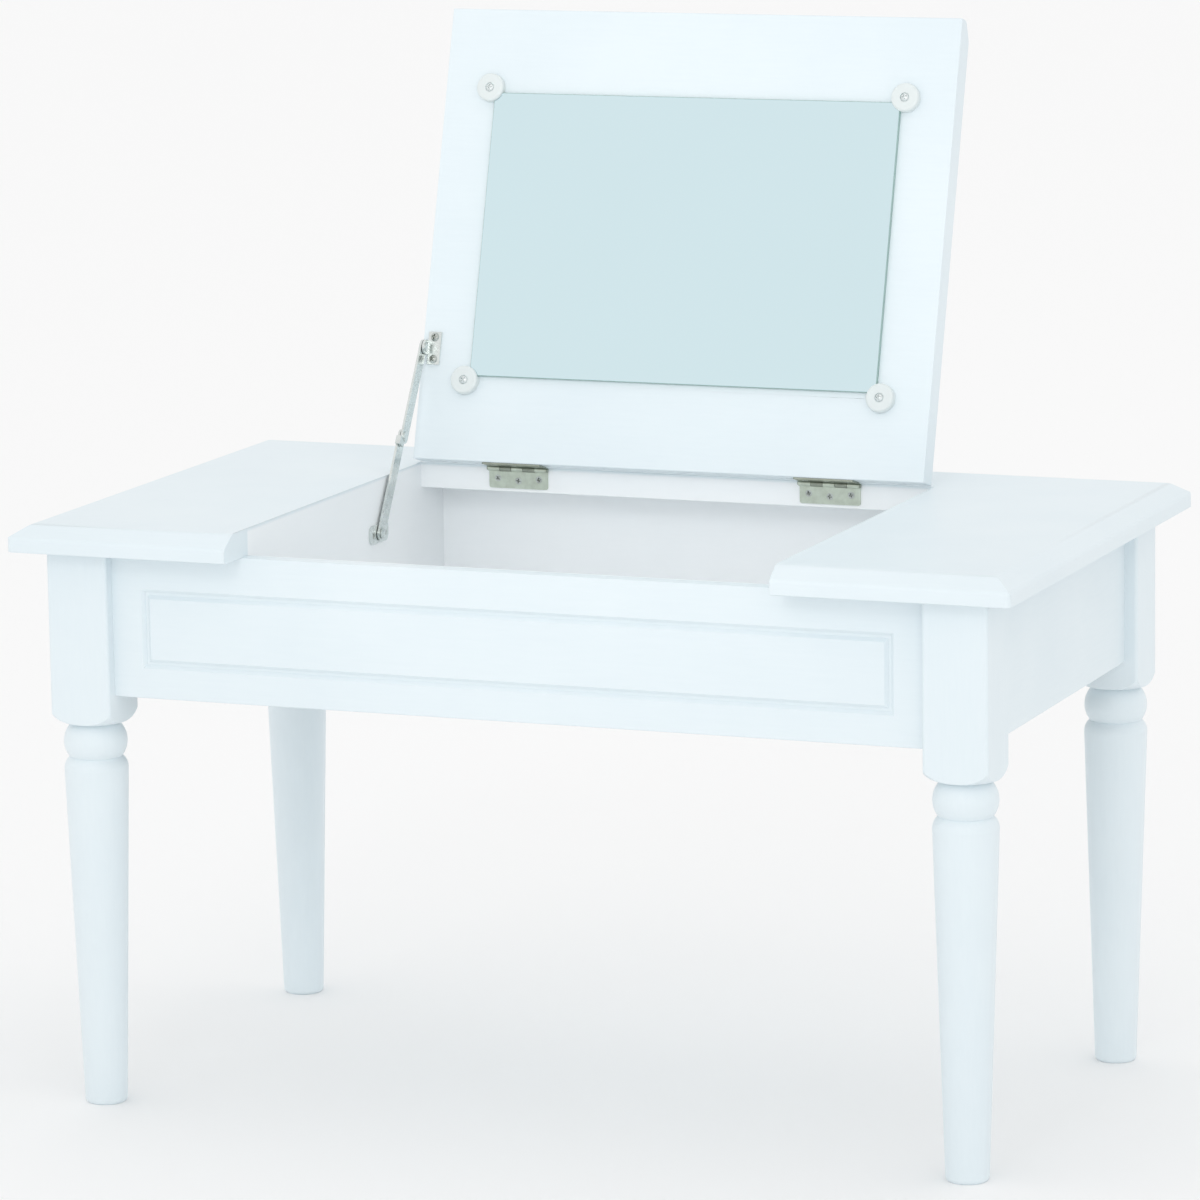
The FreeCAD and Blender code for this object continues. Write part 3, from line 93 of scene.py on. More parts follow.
# Edges sharper than these, in degrees, stay sharp when a piece is shaded.
CREASE, LEG_CREASE, SCREW_CREASE, BOLT_CREASE, NUT_CREASE = 32, 28, 38, 20, 25
FLOOR_RADIUS, FLOOR_STEPS = 30, 96


# ---- sizes and colours

def length(name, description, default):
    """A length that a user may change, in metres."""
    return FloatProperty(name=name, description=description, default=default, min=0,
                         unit="LENGTH", precision=4)


def colour(name, description, default):
    """A colour that a user may change."""
    return FloatVectorProperty(name=name, description=description, default=default,
                               size=3, min=0, max=1, subtype="COLOR")


def share(name, description, default):
    """A value from 0 to 1 that a user may change."""
    return FloatProperty(name=name, description=description, default=default, min=0, max=1,
                         subtype="FACTOR")


class LegSizes(bpy.types.PropertyGroup):
    """Sizes of a turned leg."""
    steps_round: IntProperty(name="Steps round", description="Faces round a turned part",
                             default=96, min=16, max=256)
    arc_steps: IntProperty(name="Steps along a curve", description="Rows along each curve",
                           default=18, min=3, max=64)
    block_easing: length("Block easing", "Rounding of the block's upright edges", 0.0025)
    inner_flat: length("Inner flat", "Cut across the block's inner corner", 0.009)
    apron_height: length("Apron height", "Height of the flat on the inner corner", 0.0986)
    neck_height: length("Neck height", "Neck above the floor", 0.2627)
    neck_radius: length("Neck radius", "Neck between block and bead", 0.0155)
    pommel_rise: length("Pommel rise", "Height of the block's rounded lower end", 0.0135)
    pommel_radius: length("Pommel curve", "Curve of the block's rounded lower end", 0.016)
    bead_drop: length("Bead drop", "Height of the bead", 0.0235)
    bead_radius: length("Bead curve", "Curve of the bead", 0.017)
    waist_radius: length("Waist radius", "Waist between bead and shaft", 0.0176)
    shoulder_drop: length("Shoulder drop", "Height of the shaft's rounded head", 0.009)
    shoulder_radius: length("Shoulder curve", "Curve of the shaft's rounded head", 0.01)
    shaft_radius: length("Shaft radius", "Shaft at its head", 0.0215)
    foot_radius: length("Foot radius", "Shaft at the floor end", 0.0143)
    foot_face: length("Foot face radius", "Flat that stands on the floor", 0.0128)
    foot_rise: length("Foot rise", "Height of the foot's rounded edge", 0.0032)
    foot_curve: length("Foot curve", "Curve of the foot's rounded edge", 0.0038)


class ScrewSizes(bpy.types.PropertyGroup):
    """Sizes of the screws and bolts that the frame doesn't give."""
    steps_round: IntProperty(name="Steps round", description="Faces round a screw",
                             default=40, min=12, max=96)
    top_rows: IntProperty(name="Head rows", description="Rows across a screw's head",
                          default=15, min=4, max=40)
    shank_share: share("Shank", "Shank radius as a share of the head's", 0.52)
    cross_reach: share("Cross reach", "Half length of the cross as a share of the head's radius",
                       0.62)
    cross_width: share("Cross width", "Half width of the cross as a share of the head's radius",
                       0.17)
    cross_depth: share("Cross depth", "Depth of the cross as a share of the head's radius", 0.5)
    thread_pitch: length("Thread pitch", "Pitch of the hanger bolts' thread", 0.001)
    thread_depth: length("Thread depth", "Depth of the hanger bolts' thread", 0.0004)
    turn_seed: IntProperty(name="Turn seed", description="Seed for how far each screw is turned",
                           default=7)


class PlateSizes(bpy.types.PropertyGroup):
    """The easing of the boards' edges and the angle of the open lid."""
    board_easing: length("Board easing", "Rounding of the painted boards' edges", 0.0007)
    lid_lean: FloatProperty(name="Lid opening", description="Open lid, turned up from closed",
                            default=math.radians(106), subtype="ANGLE")


class Finishes(bpy.types.PropertyGroup):
    """Colours of the finishes."""
    paint: colour("Paint", "White satin lacquer", (0.77, 0.848, 0.884))
    paint_low: colour("Paint in the hollows", "The lacquer where it lies thick",
                      (0.74, 0.823, 0.864))
    # Painted light: a whiter copy of the paint on the faces inside the storage box, standing in
    # for the light that fills the box; the real paint is the same inside and out.
    inside: colour("Painted light inside the box", "Paint lightened inside the storage box as painted light", (0.925, 0.952, 0.967))
    painted_light_inside_low: colour("Painted light inside the box, in the hollows", "The same, where it lies thick",
                       (0.90, 0.932, 0.95))
    pine: colour("Pine", "Bare pine between its rings", (0.76, 0.58, 0.37))
    pine_ring: colour("Pine rings", "Late wood of bare pine", (0.56, 0.36, 0.18))
    silver: colour("Silvering", "Mirror silver seen through the glass", (0.655, 0.812, 0.853))
    glass_edge: colour("Glass edge", "Ground edge of float glass", (0.42, 0.62, 0.58))
    clip: colour("Clips", "Translucent white plastic", (0.80, 0.86, 0.86))
    clip_screw: colour("Clip screws", "Pale plated screws of the clips", (0.90, 0.93, 0.93))
    clip_screw_dull: colour("Dull clip screws", "The same, dulled", (0.80, 0.84, 0.84))
    hinge: colour("Hinges", "Satin nickel plate", (0.62, 0.675, 0.58))
    hinge_dull: colour("Dull nickel", "Nickel plate where it has dulled", (0.47, 0.51, 0.43))
    # Painted shade: a darker copy of the hinge nickel on the pins and lid leaves, standing in for
    # the shade on the hinge barrel under the lid.
    shaded_barrel: colour("Hinge barrel", "Nickel darkened as painted shade on the pins and lid leaves", (0.36, 0.39, 0.33))
    shaded_barrel_dull: colour("Dull barrel", "The same, dulled", (0.25, 0.27, 0.23))
    stay: colour("Stay", "Bright nickel plate", (0.72, 0.76, 0.745))
    stay_dull: colour("Dull stay", "Bright nickel where it is handled", (0.60, 0.64, 0.625))
    screw: colour("Screws", "Nickel-plated steel", (0.60, 0.63, 0.60))
    screw_dull: colour("Dull screws", "Nickel-plated steel in its recesses", (0.36, 0.38, 0.36))
    zinc: colour("Zinc", "Bright zinc plate", (0.60, 0.63, 0.66))
    zinc_dull: colour("Dull zinc", "Zinc plate's darker grains", (0.44, 0.47, 0.50))


class StudioSizes(bpy.types.PropertyGroup):
    """The camera, the floor and the lights."""
    azimuth: FloatProperty(name="Azimuth", description="Camera round to the right of the front",
                           default=math.radians(21.997), subtype="ANGLE")
    height: FloatProperty(name="Elevation", description="Camera above level",
                          default=math.radians(10.414), subtype="ANGLE")
    roll: FloatProperty(name="Roll", description="Camera tilted about its own line of sight",
                        default=math.radians(-0.899), subtype="ANGLE")
    distance: length("Distance", "Camera from the middle of the table", 4.16746)
    aside: FloatProperty(name="Aside", description="Camera to the left of its target",
                         default=0.0065065, unit="LENGTH", precision=5)
    above: FloatProperty(name="Above", description="Camera above its target",
                         default=0.0698015, unit="LENGTH", precision=5)
    target_height: length("Target height", "Height that the camera looks at", 0.2625)
    lens: FloatProperty(name="Lens", description="Focal length in millimetres on a 36 mm sensor",
                        default=184.765)
    floor: colour("Floor", "Pale floor", (0.965, 0.965, 0.965))
    sky: FloatProperty(name="Surround", description="Strength of the white surround", default=0.98)
    key: FloatProperty(name="Key light", description="Power of the soft light on the right",
                       default=6.0)
    fill: FloatProperty(name="Fill light", description="Power of the low light in front",
                        default=3.0)
    lid_light: FloatProperty(name="Lid light", default=0.26,
                             description="Power of the narrow light on the lid and the box")


SETTINGS = {
    "vanity_legs": LegSizes,
    "vanity_screws": ScrewSizes,
    "vanity_plate": PlateSizes,
    "vanity_finishes": Finishes,
    "vanity_studio": StudioSizes,
}


# ---- nodes written as sums

class Wire:
    """A node's output. Sums with numbers and other wires add the Math nodes they need."""

    def __init__(self, tree, socket=None):
        self.tree = tree
        self.socket = socket

    def node(self, kind, settings=None, inputs=None, output=0):
        """Add any node: its type, its settings, then the values or wires of its sockets."""
        made = self.tree.nodes.new(kind)
        for name, setting in (settings or {}).items():
            setattr(made, name, setting)
        for key, item in (inputs or {}).items():
            socket = find_socket(made.inputs, key)
            for entry in item if isinstance(item, list) else [item]:
                if isinstance(entry, Wire):
                    self.tree.links.new(entry.socket, socket)
                else:
                    socket.default_value = entry
        return Wire(self.tree, find_socket(made.outputs, output))

    def other(self, output):
        """Another output of the same node."""
        return Wire(self.tree, find_socket(self.socket.node.outputs, output))

    def maths(self, operation, first, second=0.0):
        """One Math node."""
        return self.node("ShaderNodeMath", {"operation": operation}, {0: first, 1: second})

    def limited(self):
        """The value held between 0 and 1."""
        return self.node("ShaderNodeClamp", {}, {"Value": self})

    def __add__(self, other):
        return self.maths("ADD", self, other)

    def __sub__(self, other):
        return self.maths("SUBTRACT", self, other)

    def __rsub__(self, other):
        return self.maths("SUBTRACT", other, self)

    def __mul__(self, other):
        return self.maths("MULTIPLY", self, other)

    def __truediv__(self, other):
        return self.maths("DIVIDE", self, other)

    def __abs__(self):
        return self.maths("ABSOLUTE", self)

    __radd__ = __add__
    __rmul__ = __mul__


def find_socket(sockets, key):
    """A socket by its number, its identifier or the name it shows."""
    if isinstance(key, int):
        return sockets[key]
    for socket in sockets:
        if socket.identifier == key:
            return socket
    for socket in sockets:
        if socket.enabled and socket.name == key:
            return socket
    raise KeyError(f"no socket {key!r}")


# ---- finishes

def new_finish(name):
    """An empty material: its first wire and its shader node."""
    material = bpy.data.materials.new(name)
    material.use_nodes = True
    tree = material.node_tree
    shader = next(node for node in tree.nodes if node.type == "BSDF_PRINCIPLED")
    return material, Wire(tree), shader


def join_up(shader, **wires):
    """Link wires to the shader's sockets; underscores in a name stand for spaces."""
    for name, wire in wires.items():
        wire.tree.links.new(wire.socket, shader.inputs[name.replace("_", " ")])


def fix(shader, **values):
    """Set the shader's own sockets; underscores in a name stand for spaces."""
    for name, number in values.items():
        shader.inputs[name.replace("_", " ")].default_value = number


def object_place(start, stretch=(1, 1, 1)):
    """Object coordinates, stretched so that a pattern runs along the grain."""
    place = start.node("ShaderNodeTexCoord", output="Object")
    return start.node("ShaderNodeMapping", {}, {"Vector": place, "Scale": stretch})


def noise(place, scale, detail=2.0, roughness=0.5, distortion=0.0):
    """A cloudy pattern from 0 to 1."""
    return place.node("ShaderNodeTexNoise", {}, {
        "Vector": place, "Scale": scale, "Detail": detail, "Roughness": roughness,
        "Distortion": distortion})


def blend_colours(factor, first, second):
    """A mix of two colours, each three numbers or a wire."""
    first, second = (part if isinstance(part, Wire) else (*part, 1) for part in (first, second))
    return factor.node("ShaderNodeMix", {"data_type": "RGBA"}, {
        "Factor_Float": factor, "A_Color": first, "B_Color": second}, "Result_Color")


def raised(height, depth, strength):
    """The normal of a surface raised by a pattern, at most by the given depth."""
    return height.node("ShaderNodeBump", {}, {
        "Height": height, "Distance": depth, "Strength": strength})


def spread(wire, low, high):
    """The part of a 0 to 1 pattern between two levels, widened to 0 to 1."""
    return ((wire - low) / (high - low)).limited()


GRAIN_STRETCH = {"x": (0.08, 1, 1), "y": (1, 0.08, 1), "z": (1, 1, 0.08)}


def painted_light_mask(start):
    """Mask of the painted light: 1 on the faces that look into the storage box, 0 elsewhere."""
    left, right, front, back, floor, top = (box_of(NODES[node]) for node in (
        "left_box_wall", "right_box_wall", "front_apron", "back_apron", "box_floor", "top_frame"))
    low = (left[1][0], front[1][1], floor[1][2])
    high = (right[0][0], back[0][1], top[1][2] - PAINTED_LIGHT_STOPS)
    place = start.node("ShaderNodeSeparateXYZ", {}, {"Vector": object_place(start)})
    within = 1.0
    for axis, foot, head in zip("XYZ", low, high):
        wire = place.other(axis)
        within = (within * spread(wire, foot - PAINTED_LIGHT_FADE, foot - PAINTED_LIGHT_KEEPS)
                  * (1 - spread(wire, head + PAINTED_LIGHT_KEEPS, head + PAINTED_LIGHT_FADE)))
    return within


def painted(name, grain, finishes):
    """Satin white lacquer over primed wood: faint brushing, orange peel and mottling."""
    material, start, shader = new_finish(name)
    strokes = noise(object_place(start, GRAIN_STRETCH[grain]), 520, 3, 0.6)
    place = object_place(start)
    mottle = noise(place, 9, 3, 0.55)
    peel = noise(place, 1100, 1.5, 0.5)
    hollow = spread(mottle * 0.7 + strokes * 0.3, 0.36, 0.66)
    outside = blend_colours(hollow, finishes.paint, finishes.paint_low)
    # Painted light: the faces inside the storage box get a whiter copy of the paint.
    inside = blend_colours(hollow, finishes.inside, finishes.painted_light_inside_low)
    join_up(shader,
            Base_Color=blend_colours(painted_light_mask(start), outside, inside),
            Roughness=0.33 + 0.1 * mottle + 0.06 * strokes,
            Normal=raised(strokes * 0.6 + peel * 0.4, 0.00005, 0.5))
    fix(shader, IOR=1.47, Coat_Weight=0.08, Coat_Roughness=0.3)
    return material


def bare_pine(name, finishes):
    """Bare pine with rings, fibres and a dry surface."""
    material, start, shader = new_finish(name)
    place = object_place(start, (1, 1, 0.12))
    rings = place.node("ShaderNodeTexWave", {"wave_type": "RINGS", "rings_direction": "Z"}, {
        "Vector": place, "Scale": 46, "Distortion": 5.0, "Detail": 3, "Detail Scale": 1.4},
        "Fac")
    fibres = noise(place, 900, 4, 0.65)
    join_up(shader,
            Base_Color=blend_colours((rings * 0.62 + fibres * 0.38).limited(), finishes.pine,
                                     finishes.pine_ring),
            Roughness=0.6 + 0.18 * fibres,
            Normal=raised(fibres * 0.7 + rings * 0.3, 0.00012, 0.7))
    return material


def plated(name, bright, dull, roughness, grain=(1, 1, 1)):
    """Metal plate with fine brushing, dull patches and small pits."""
    material, start, shader = new_finish(name)
    place = object_place(start)
    brushing = noise(object_place(start, grain), 2600, 2, 0.6)
    patches = noise(place, 170, 4, 0.6)
    pits = spread(noise(place, 1500, 1, 0.4), 0.66, 0.78)
    worn = (spread(patches, 0.4, 0.7) * 0.7 + pits * 0.3).limited()
    join_up(shader,
            Base_Color=blend_colours(worn, bright, dull),
            Roughness=roughness + 0.12 * patches + 0.08 * brushing,
            Normal=raised(brushing * 0.7 - pits * 0.3, 0.00002, 0.6))
    fix(shader, Metallic=1.0)
    return material


def zinc_plate(name, finishes):
    """Bright zinc with its angular grains."""
    material, start, shader = new_finish(name)
    place = object_place(start)
    grains = place.node("ShaderNodeTexVoronoi", {}, {"Vector": place, "Scale": 700}, "Color")
    tone = start.node("ShaderNodeSeparateXYZ", {}, {"Vector": grains}, "X")
    cloud = noise(place, 240, 3, 0.6)
    join_up(shader,
            Base_Color=blend_colours((tone * 0.5 + cloud * 0.5).limited(), finishes.zinc,
                                     finishes.zinc_dull),
            Roughness=0.3 + 0.2 * tone,
            Normal=raised(tone * 0.5 + cloud * 0.5, 0.00003, 0.5))
    fix(shader, Metallic=1.0)
    return material


def silvered_glass(name, finishes):
    """The mirror's face: silver behind glass, with the faintest wiping marks."""
    material, start, shader = new_finish(name)
    wipes = noise(object_place(start, (1, 0.25, 0.25)), 34, 3, 0.6, 0.4)
    film = noise(object_place(start), 12, 2)
    darker = tuple(0.985 * part for part in finishes.silver)
    join_up(shader,
            Base_Color=blend_colours(film, finishes.silver, darker),
            Roughness=0.012 + 0.03 * spread(wipes, 0.45, 0.8))
    fix(shader, Metallic=1.0, Coat_Weight=0.25, Coat_Roughness=0.02)
    return material


def ground_glass(name, finishes):
    """The mirror's ground green edge."""
    material, start, shader = new_finish(name)
    grinding = noise(object_place(start), 1800, 2, 0.6)
    pale = tuple(min(1, 1.25 * part) for part in finishes.glass_edge)
    join_up(shader,
            Base_Color=blend_colours(grinding, finishes.glass_edge, pale),
            Roughness=0.22 + 0.2 * grinding,
            Normal=raised(grinding, 0.00004, 0.5))
    fix(shader, Transmission_Weight=0.35, IOR=1.52)
    return material


def clear_plastic(name, finishes):
    """Moulded translucent clips with a soft sheen and flow marks."""
    material, start, shader = new_finish(name)
    place = object_place(start)
    flow = noise(place, 90, 2, 0.5, 0.8)
    grain = noise(place, 1400, 1)
    milky = tuple(min(1, 1.04 * part) for part in finishes.clip)
    join_up(shader,
            Base_Color=blend_colours(flow, finishes.clip, milky),
            Roughness=0.26 + 0.1 * flow,
            Normal=raised(flow * 0.6 + grain * 0.4, 0.00001, 0.3))
    fix(shader, Transmission_Weight=0.12, IOR=1.49, Coat_Weight=0.2, Coat_Roughness=0.12)
    return material


# ---- meshes

def new_object(name, mesh):
    """An object at the origin, in the scene."""
    made = bpy.data.objects.new(name, mesh)
    bpy.context.scene.collection.objects.link(made)
    return made


def apply_modifiers(piece):
    """Put the result of the piece's modifiers in its mesh and take them off."""
    bpy.context.view_layer.update()
    mesh = bpy.data.meshes.new_from_object(
        piece.evaluated_get(bpy.context.evaluated_depsgraph_get()))
    old = piece.data
    piece.modifiers.clear()
    piece.data = mesh
    mesh.name = piece.name
    bpy.data.meshes.remove(old)


def shade(piece, crease):
    """Smooth curved faces, keep creases sharp and flat faces truly flat.

    A corner's normal is the mean of the faces that meet there within the crease angle, each
    counted by its area, so that a wide flat face isn't bent by the rounding beside it.
    """
    mesh = piece.data
    mesh.shade_smooth()
    limit = math.cos(math.radians(crease))
    around = [[] for _ in mesh.vertices]
    for face in mesh.polygons:
        entry = (face.normal.copy(), face.area)
        for corner in face.vertices:
            around[corner].append(entry)
    normals = []
    for face in mesh.polygons:
        own = face.normal
        for corner in face.vertices:
            total = Vector()
            for normal, area in around[corner]:
                if normal.dot(own) > limit:
                    total += normal * area
            normals.append(total.normalized())
    mesh.normals_split_custom_set(normals)


def clean_copy(node):
    """A CAD node's mesh with its loose triangles joined and its flat faces whole."""
    work = bmesh.new()
    work.from_mesh(NODES[node].data)
    bmesh.ops.remove_doubles(work, verts=work.verts, dist=2 * MICRON)
    bmesh.ops.dissolve_limit(work, angle_limit=math.radians(0.1), verts=work.verts,
                             edges=work.edges)
    return work


def settle(piece, node):
    """Fasten a finished piece to its body and the node it stands for."""
    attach(piece, NODES[node]["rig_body"])
    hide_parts(node)


def every_edge(middle, low, high):
    """All of a board's sharp edges."""
    return True


def long_edges(middle, low, high):
    """The lengthwise edges at the top and bottom of an upright board."""
    return min(high.z - middle.z, middle.z - low.z) < HAIR


def top_edges(middle, low, high):
    """The top's upper and outer edges, but not the joint with the storage box."""
    outside = max(abs(middle.x) - high.x, middle.y - high.y) > -HAIR
    return outside or high.z - middle.z < HAIR or middle.y - low.y < MOULDING_DEPTH


def ease_edges(piece, width, wanted):
    """Round the square edges of a board that are wanted, judged by their middles."""
    low, high = box_of(piece)
    work = bmesh.new()
    work.from_mesh(piece.data)
    weights = work.edges.layers.float.new("bevel_weight_edge")
    for edge in work.edges:
        middle = (edge.verts[0].co + edge.verts[1].co) / 2
        square = edge.is_manifold and edge.calc_face_angle() > math.radians(60)
        edge[weights] = float(square and wanted(middle, low, high))
    work.to_mesh(piece.data)
    work.free()
    easing = piece.modifiers.new("eased edges", "BEVEL")
    easing.width = width
    easing.segments = BOARD_STEPS
    easing.limit_method = "WEIGHT"
    easing.use_clamp_overlap = False
    apply_modifiers(piece)


def span(points):
    """Lowest and highest corner of the box round some points."""
    return (Vector([min(point[axis] for point in points) for axis in range(3)]),
            Vector([max(point[axis] for point in points) for axis in range(3)]))


def box_of(piece):
    """Lowest and highest corner of a piece's mesh."""
    return span([vertex.co for vertex in piece.data.vertices])


def dress(node, name, material, crease=CREASE, eased=None):
    """Replace a CAD node with a joined, smoothly shaded copy of itself."""
    mesh = bpy.data.meshes.new(name)
    work = clean_copy(node)
    work.to_mesh(mesh)
    work.free()
    mesh.materials.append(material)
    piece = new_object(name, mesh)
    if eased:
        ease_edges(piece, bpy.context.scene.vanity_plate.board_easing, eased)
    shade(piece, crease)
    settle(piece, node)
    return piece


def recolour(node, material):
    """Give a CAD node that stays a better finish."""
    mesh = NODES[node].data
    if mesh.materials:
        for index in range(len(mesh.materials)):
            mesh.materials[index] = material
    else:
        mesh.materials.append(material)


def points_object(name, points, **vectors):
    """A mesh of loose points, with vectors stored on them."""
    mesh = bpy.data.meshes.new(name)
    mesh.from_pydata([tuple(point) for point in points], [], [])
    for key, entries in vectors.items():
        attribute = mesh.attributes.new(key, "FLOAT_VECTOR", "POINT")
        for entry, vector in zip(attribute.data, entries):
            entry.vector = vector
    return new_object(name, mesh)


def solids_of(node):
    """The corners of each separate solid of a CAD node."""
    work = clean_copy(node)
    left = set(work.verts)
    found = []
    while left:
        reached = {left.pop()}
        waiting = list(reached)
        while waiting:
            corner = waiting.pop()
            for edge in corner.link_edges:
                neighbour = edge.other_vert(corner)
                if neighbour in left:
                    left.discard(neighbour)
                    reached.add(neighbour)
                    waiting.append(neighbour)
        found.append([corner.co.copy() for corner in reached])
    work.free()
    return sorted(found, key=lambda points: tuple(round(part, 5) for part in centre_of(points)))


def centre_of(points):
    """The middle of the box round some points."""
    low, high = span(points)
    return (low + high) / 2


def towards_middle(place):
    """The level direction that points diagonally in from a corner of the table."""
    return Vector((-math.copysign(1, place.x), -math.copysign(1, place.y), 0)).normalized()


def measure(points, facing):
    """A round solid along its axis: its outer end, its length and its largest radius."""
    along = [point.dot(facing) for point in points]
    top = [point for point, reach in zip(points, along) if reach > max(along) - 20 * MICRON]
    middle = sum(top, Vector()) / len(top)
    radius = max((point - middle - facing * (point - middle).dot(facing)).length
                 for point in points)
    return middle, max(along) - min(along), radius


# ---- turned pieces

def bulge(start, end, radius, steps):
    """Points after start on an arc to end that bulges to the right of the way it goes."""
    first, last = Vector(start), Vector(end)
    chord = last - first
    rise = math.sqrt(max(radius * radius - chord.length_squared / 4, 0))
    centre = (first + last) / 2 + Vector((-chord.y, chord.x)).normalized() * rise
    arm = first - centre
    turn = arm.angle_signed(last - centre)
    return [centre + Matrix.Rotation(-turn * step / steps, 2) @ arm
            for step in range(1, steps + 1)]


def new_tree(name, sizes):
    """A Geometry Nodes tree with named inputs, and its input wire."""
    tree = bpy.data.node_groups.new(name, "GeometryNodeTree")
    tree.interface.new_socket(name="Geometry", in_out="INPUT", socket_type="NodeSocketGeometry")
    for label, kind in sizes:
        tree.interface.new_socket(name=label, in_out="INPUT", socket_type="NodeSocket" + kind)
    tree.interface.new_socket(name="Geometry", in_out="OUTPUT", socket_type="NodeSocketGeometry")
    return tree, Wire(tree).node("NodeGroupInput", output="Geometry")


def finish_tree(made, group):
    """Realize the instances, give them their finish and end the tree."""
    real = made.node("GeometryNodeRealizeInstances", {}, {"Geometry": made})
    done = made.node("GeometryNodeSetMaterial", {}, {"Geometry": real,
                                                     "Material": group.other("Finish")})
    done.tree.links.new(done.socket, done.tree.nodes.new("NodeGroupOutput").inputs[0])


def read_vector(start, name):
    """A vector stored on the points."""
    return start.node("GeometryNodeInputNamedAttribute", {"data_type": "FLOAT_VECTOR"},
                      {"Name": name}, "Attribute")


def turned_solid(group, cut=None):
    """Nodes that turn the half section in the Section object about the upright axis.

    cut may lower the surface: it takes x, y and the row number and gives a depth.
    """
    section = group.node("GeometryNodeObjectInfo", {}, {"Object": group.other("Section")},
                         "Geometry")
    rows = group.node("GeometryNodeAttributeDomainSize", {}, {"Geometry": section},
                      "Point Count")
    sheet = group.node("GeometryNodeMeshGrid", {}, {
        "Size X": 1.0, "Size Y": 1.0, "Vertices X": group.other("Steps round") + 1,
        "Vertices Y": rows}, "Mesh")
    spot = group.node("GeometryNodeInputPosition")
    across = group.node("ShaderNodeSeparateXYZ", {}, {"Vector": spot}, "X")
    angle = (across + 0.5) * math.tau
    row = across.maths("ROUND", (across.other("Y") + 0.5) * (rows - 1))
    sample = group.node("GeometryNodeSampleIndex", {"data_type": "FLOAT_VECTOR"}, {
        "Geometry": section, "Value": spot, "Index": row}, "Value")
    radius = group.node("ShaderNodeSeparateXYZ", {}, {"Vector": sample}, "X")
    x = radius * angle.maths("COSINE", angle)
    y = radius * angle.maths("SINE", angle)
    z = radius.other("Z")
    if cut:
        z = z - cut(x, y, row)
    place = group.node("ShaderNodeCombineXYZ", {}, {"X": x, "Y": y, "Z": z})
    bent = group.node("GeometryNodeSetPosition", {}, {"Geometry": sheet, "Position": place})
    return group.node("GeometryNodeMergeByDistance", {}, {"Geometry": bent,
                                                          "Distance": MICRON})


def screw_tree():
    """Round pieces turned from a half section, crossed on top, set at every point."""
    tree, group = new_tree("screws", [
        ("Section", "Object"), ("Steps round", "Int"), ("Rim row", "Int"),
        ("Cross reach", "Float"), ("Cross width", "Float"), ("Cross depth", "Float"),
        ("Seed", "Int"), ("Finish", "Material")])

    def slot(first, second):
        width = group.other("Cross width")
        reach = group.other("Cross reach")
        narrow = ((width - abs(first)) / (width * 0.5)).limited()
        return narrow * ((reach - abs(second)) / (reach * 0.18)).limited()

    def cross(x, y, row):
        mask = x.maths("MAXIMUM", slot(x, y), slot(y, x))
        on_top = (row - group.other("Rim row")).limited()
        return mask * on_top * group.other("Cross depth")

    solid = turned_solid(group, cross)
    facing = group.node("FunctionNodeAlignRotationToVector", {"axis": "Z"}, {
        "Vector": read_vector(group, "facing")})
    turn = group.node("FunctionNodeRandomValue", {"data_type": "FLOAT"}, {
        "Min_001": 0.0, "Max_001": math.pi, "Seed": group.other("Seed")}, "Value_001")
    spin = group.node("FunctionNodeAxisAngleToRotation", {}, {"Axis": UP, "Angle": turn})
    pose = group.node("FunctionNodeRotateRotation", {"rotation_space": "LOCAL"}, {
        "Rotation": facing, "Rotate By": spin})
    placed = group.node("GeometryNodeInstanceOnPoints", {}, {
        "Points": group, "Instance": solid, "Rotation": pose})
    finish_tree(placed, group)
    return tree


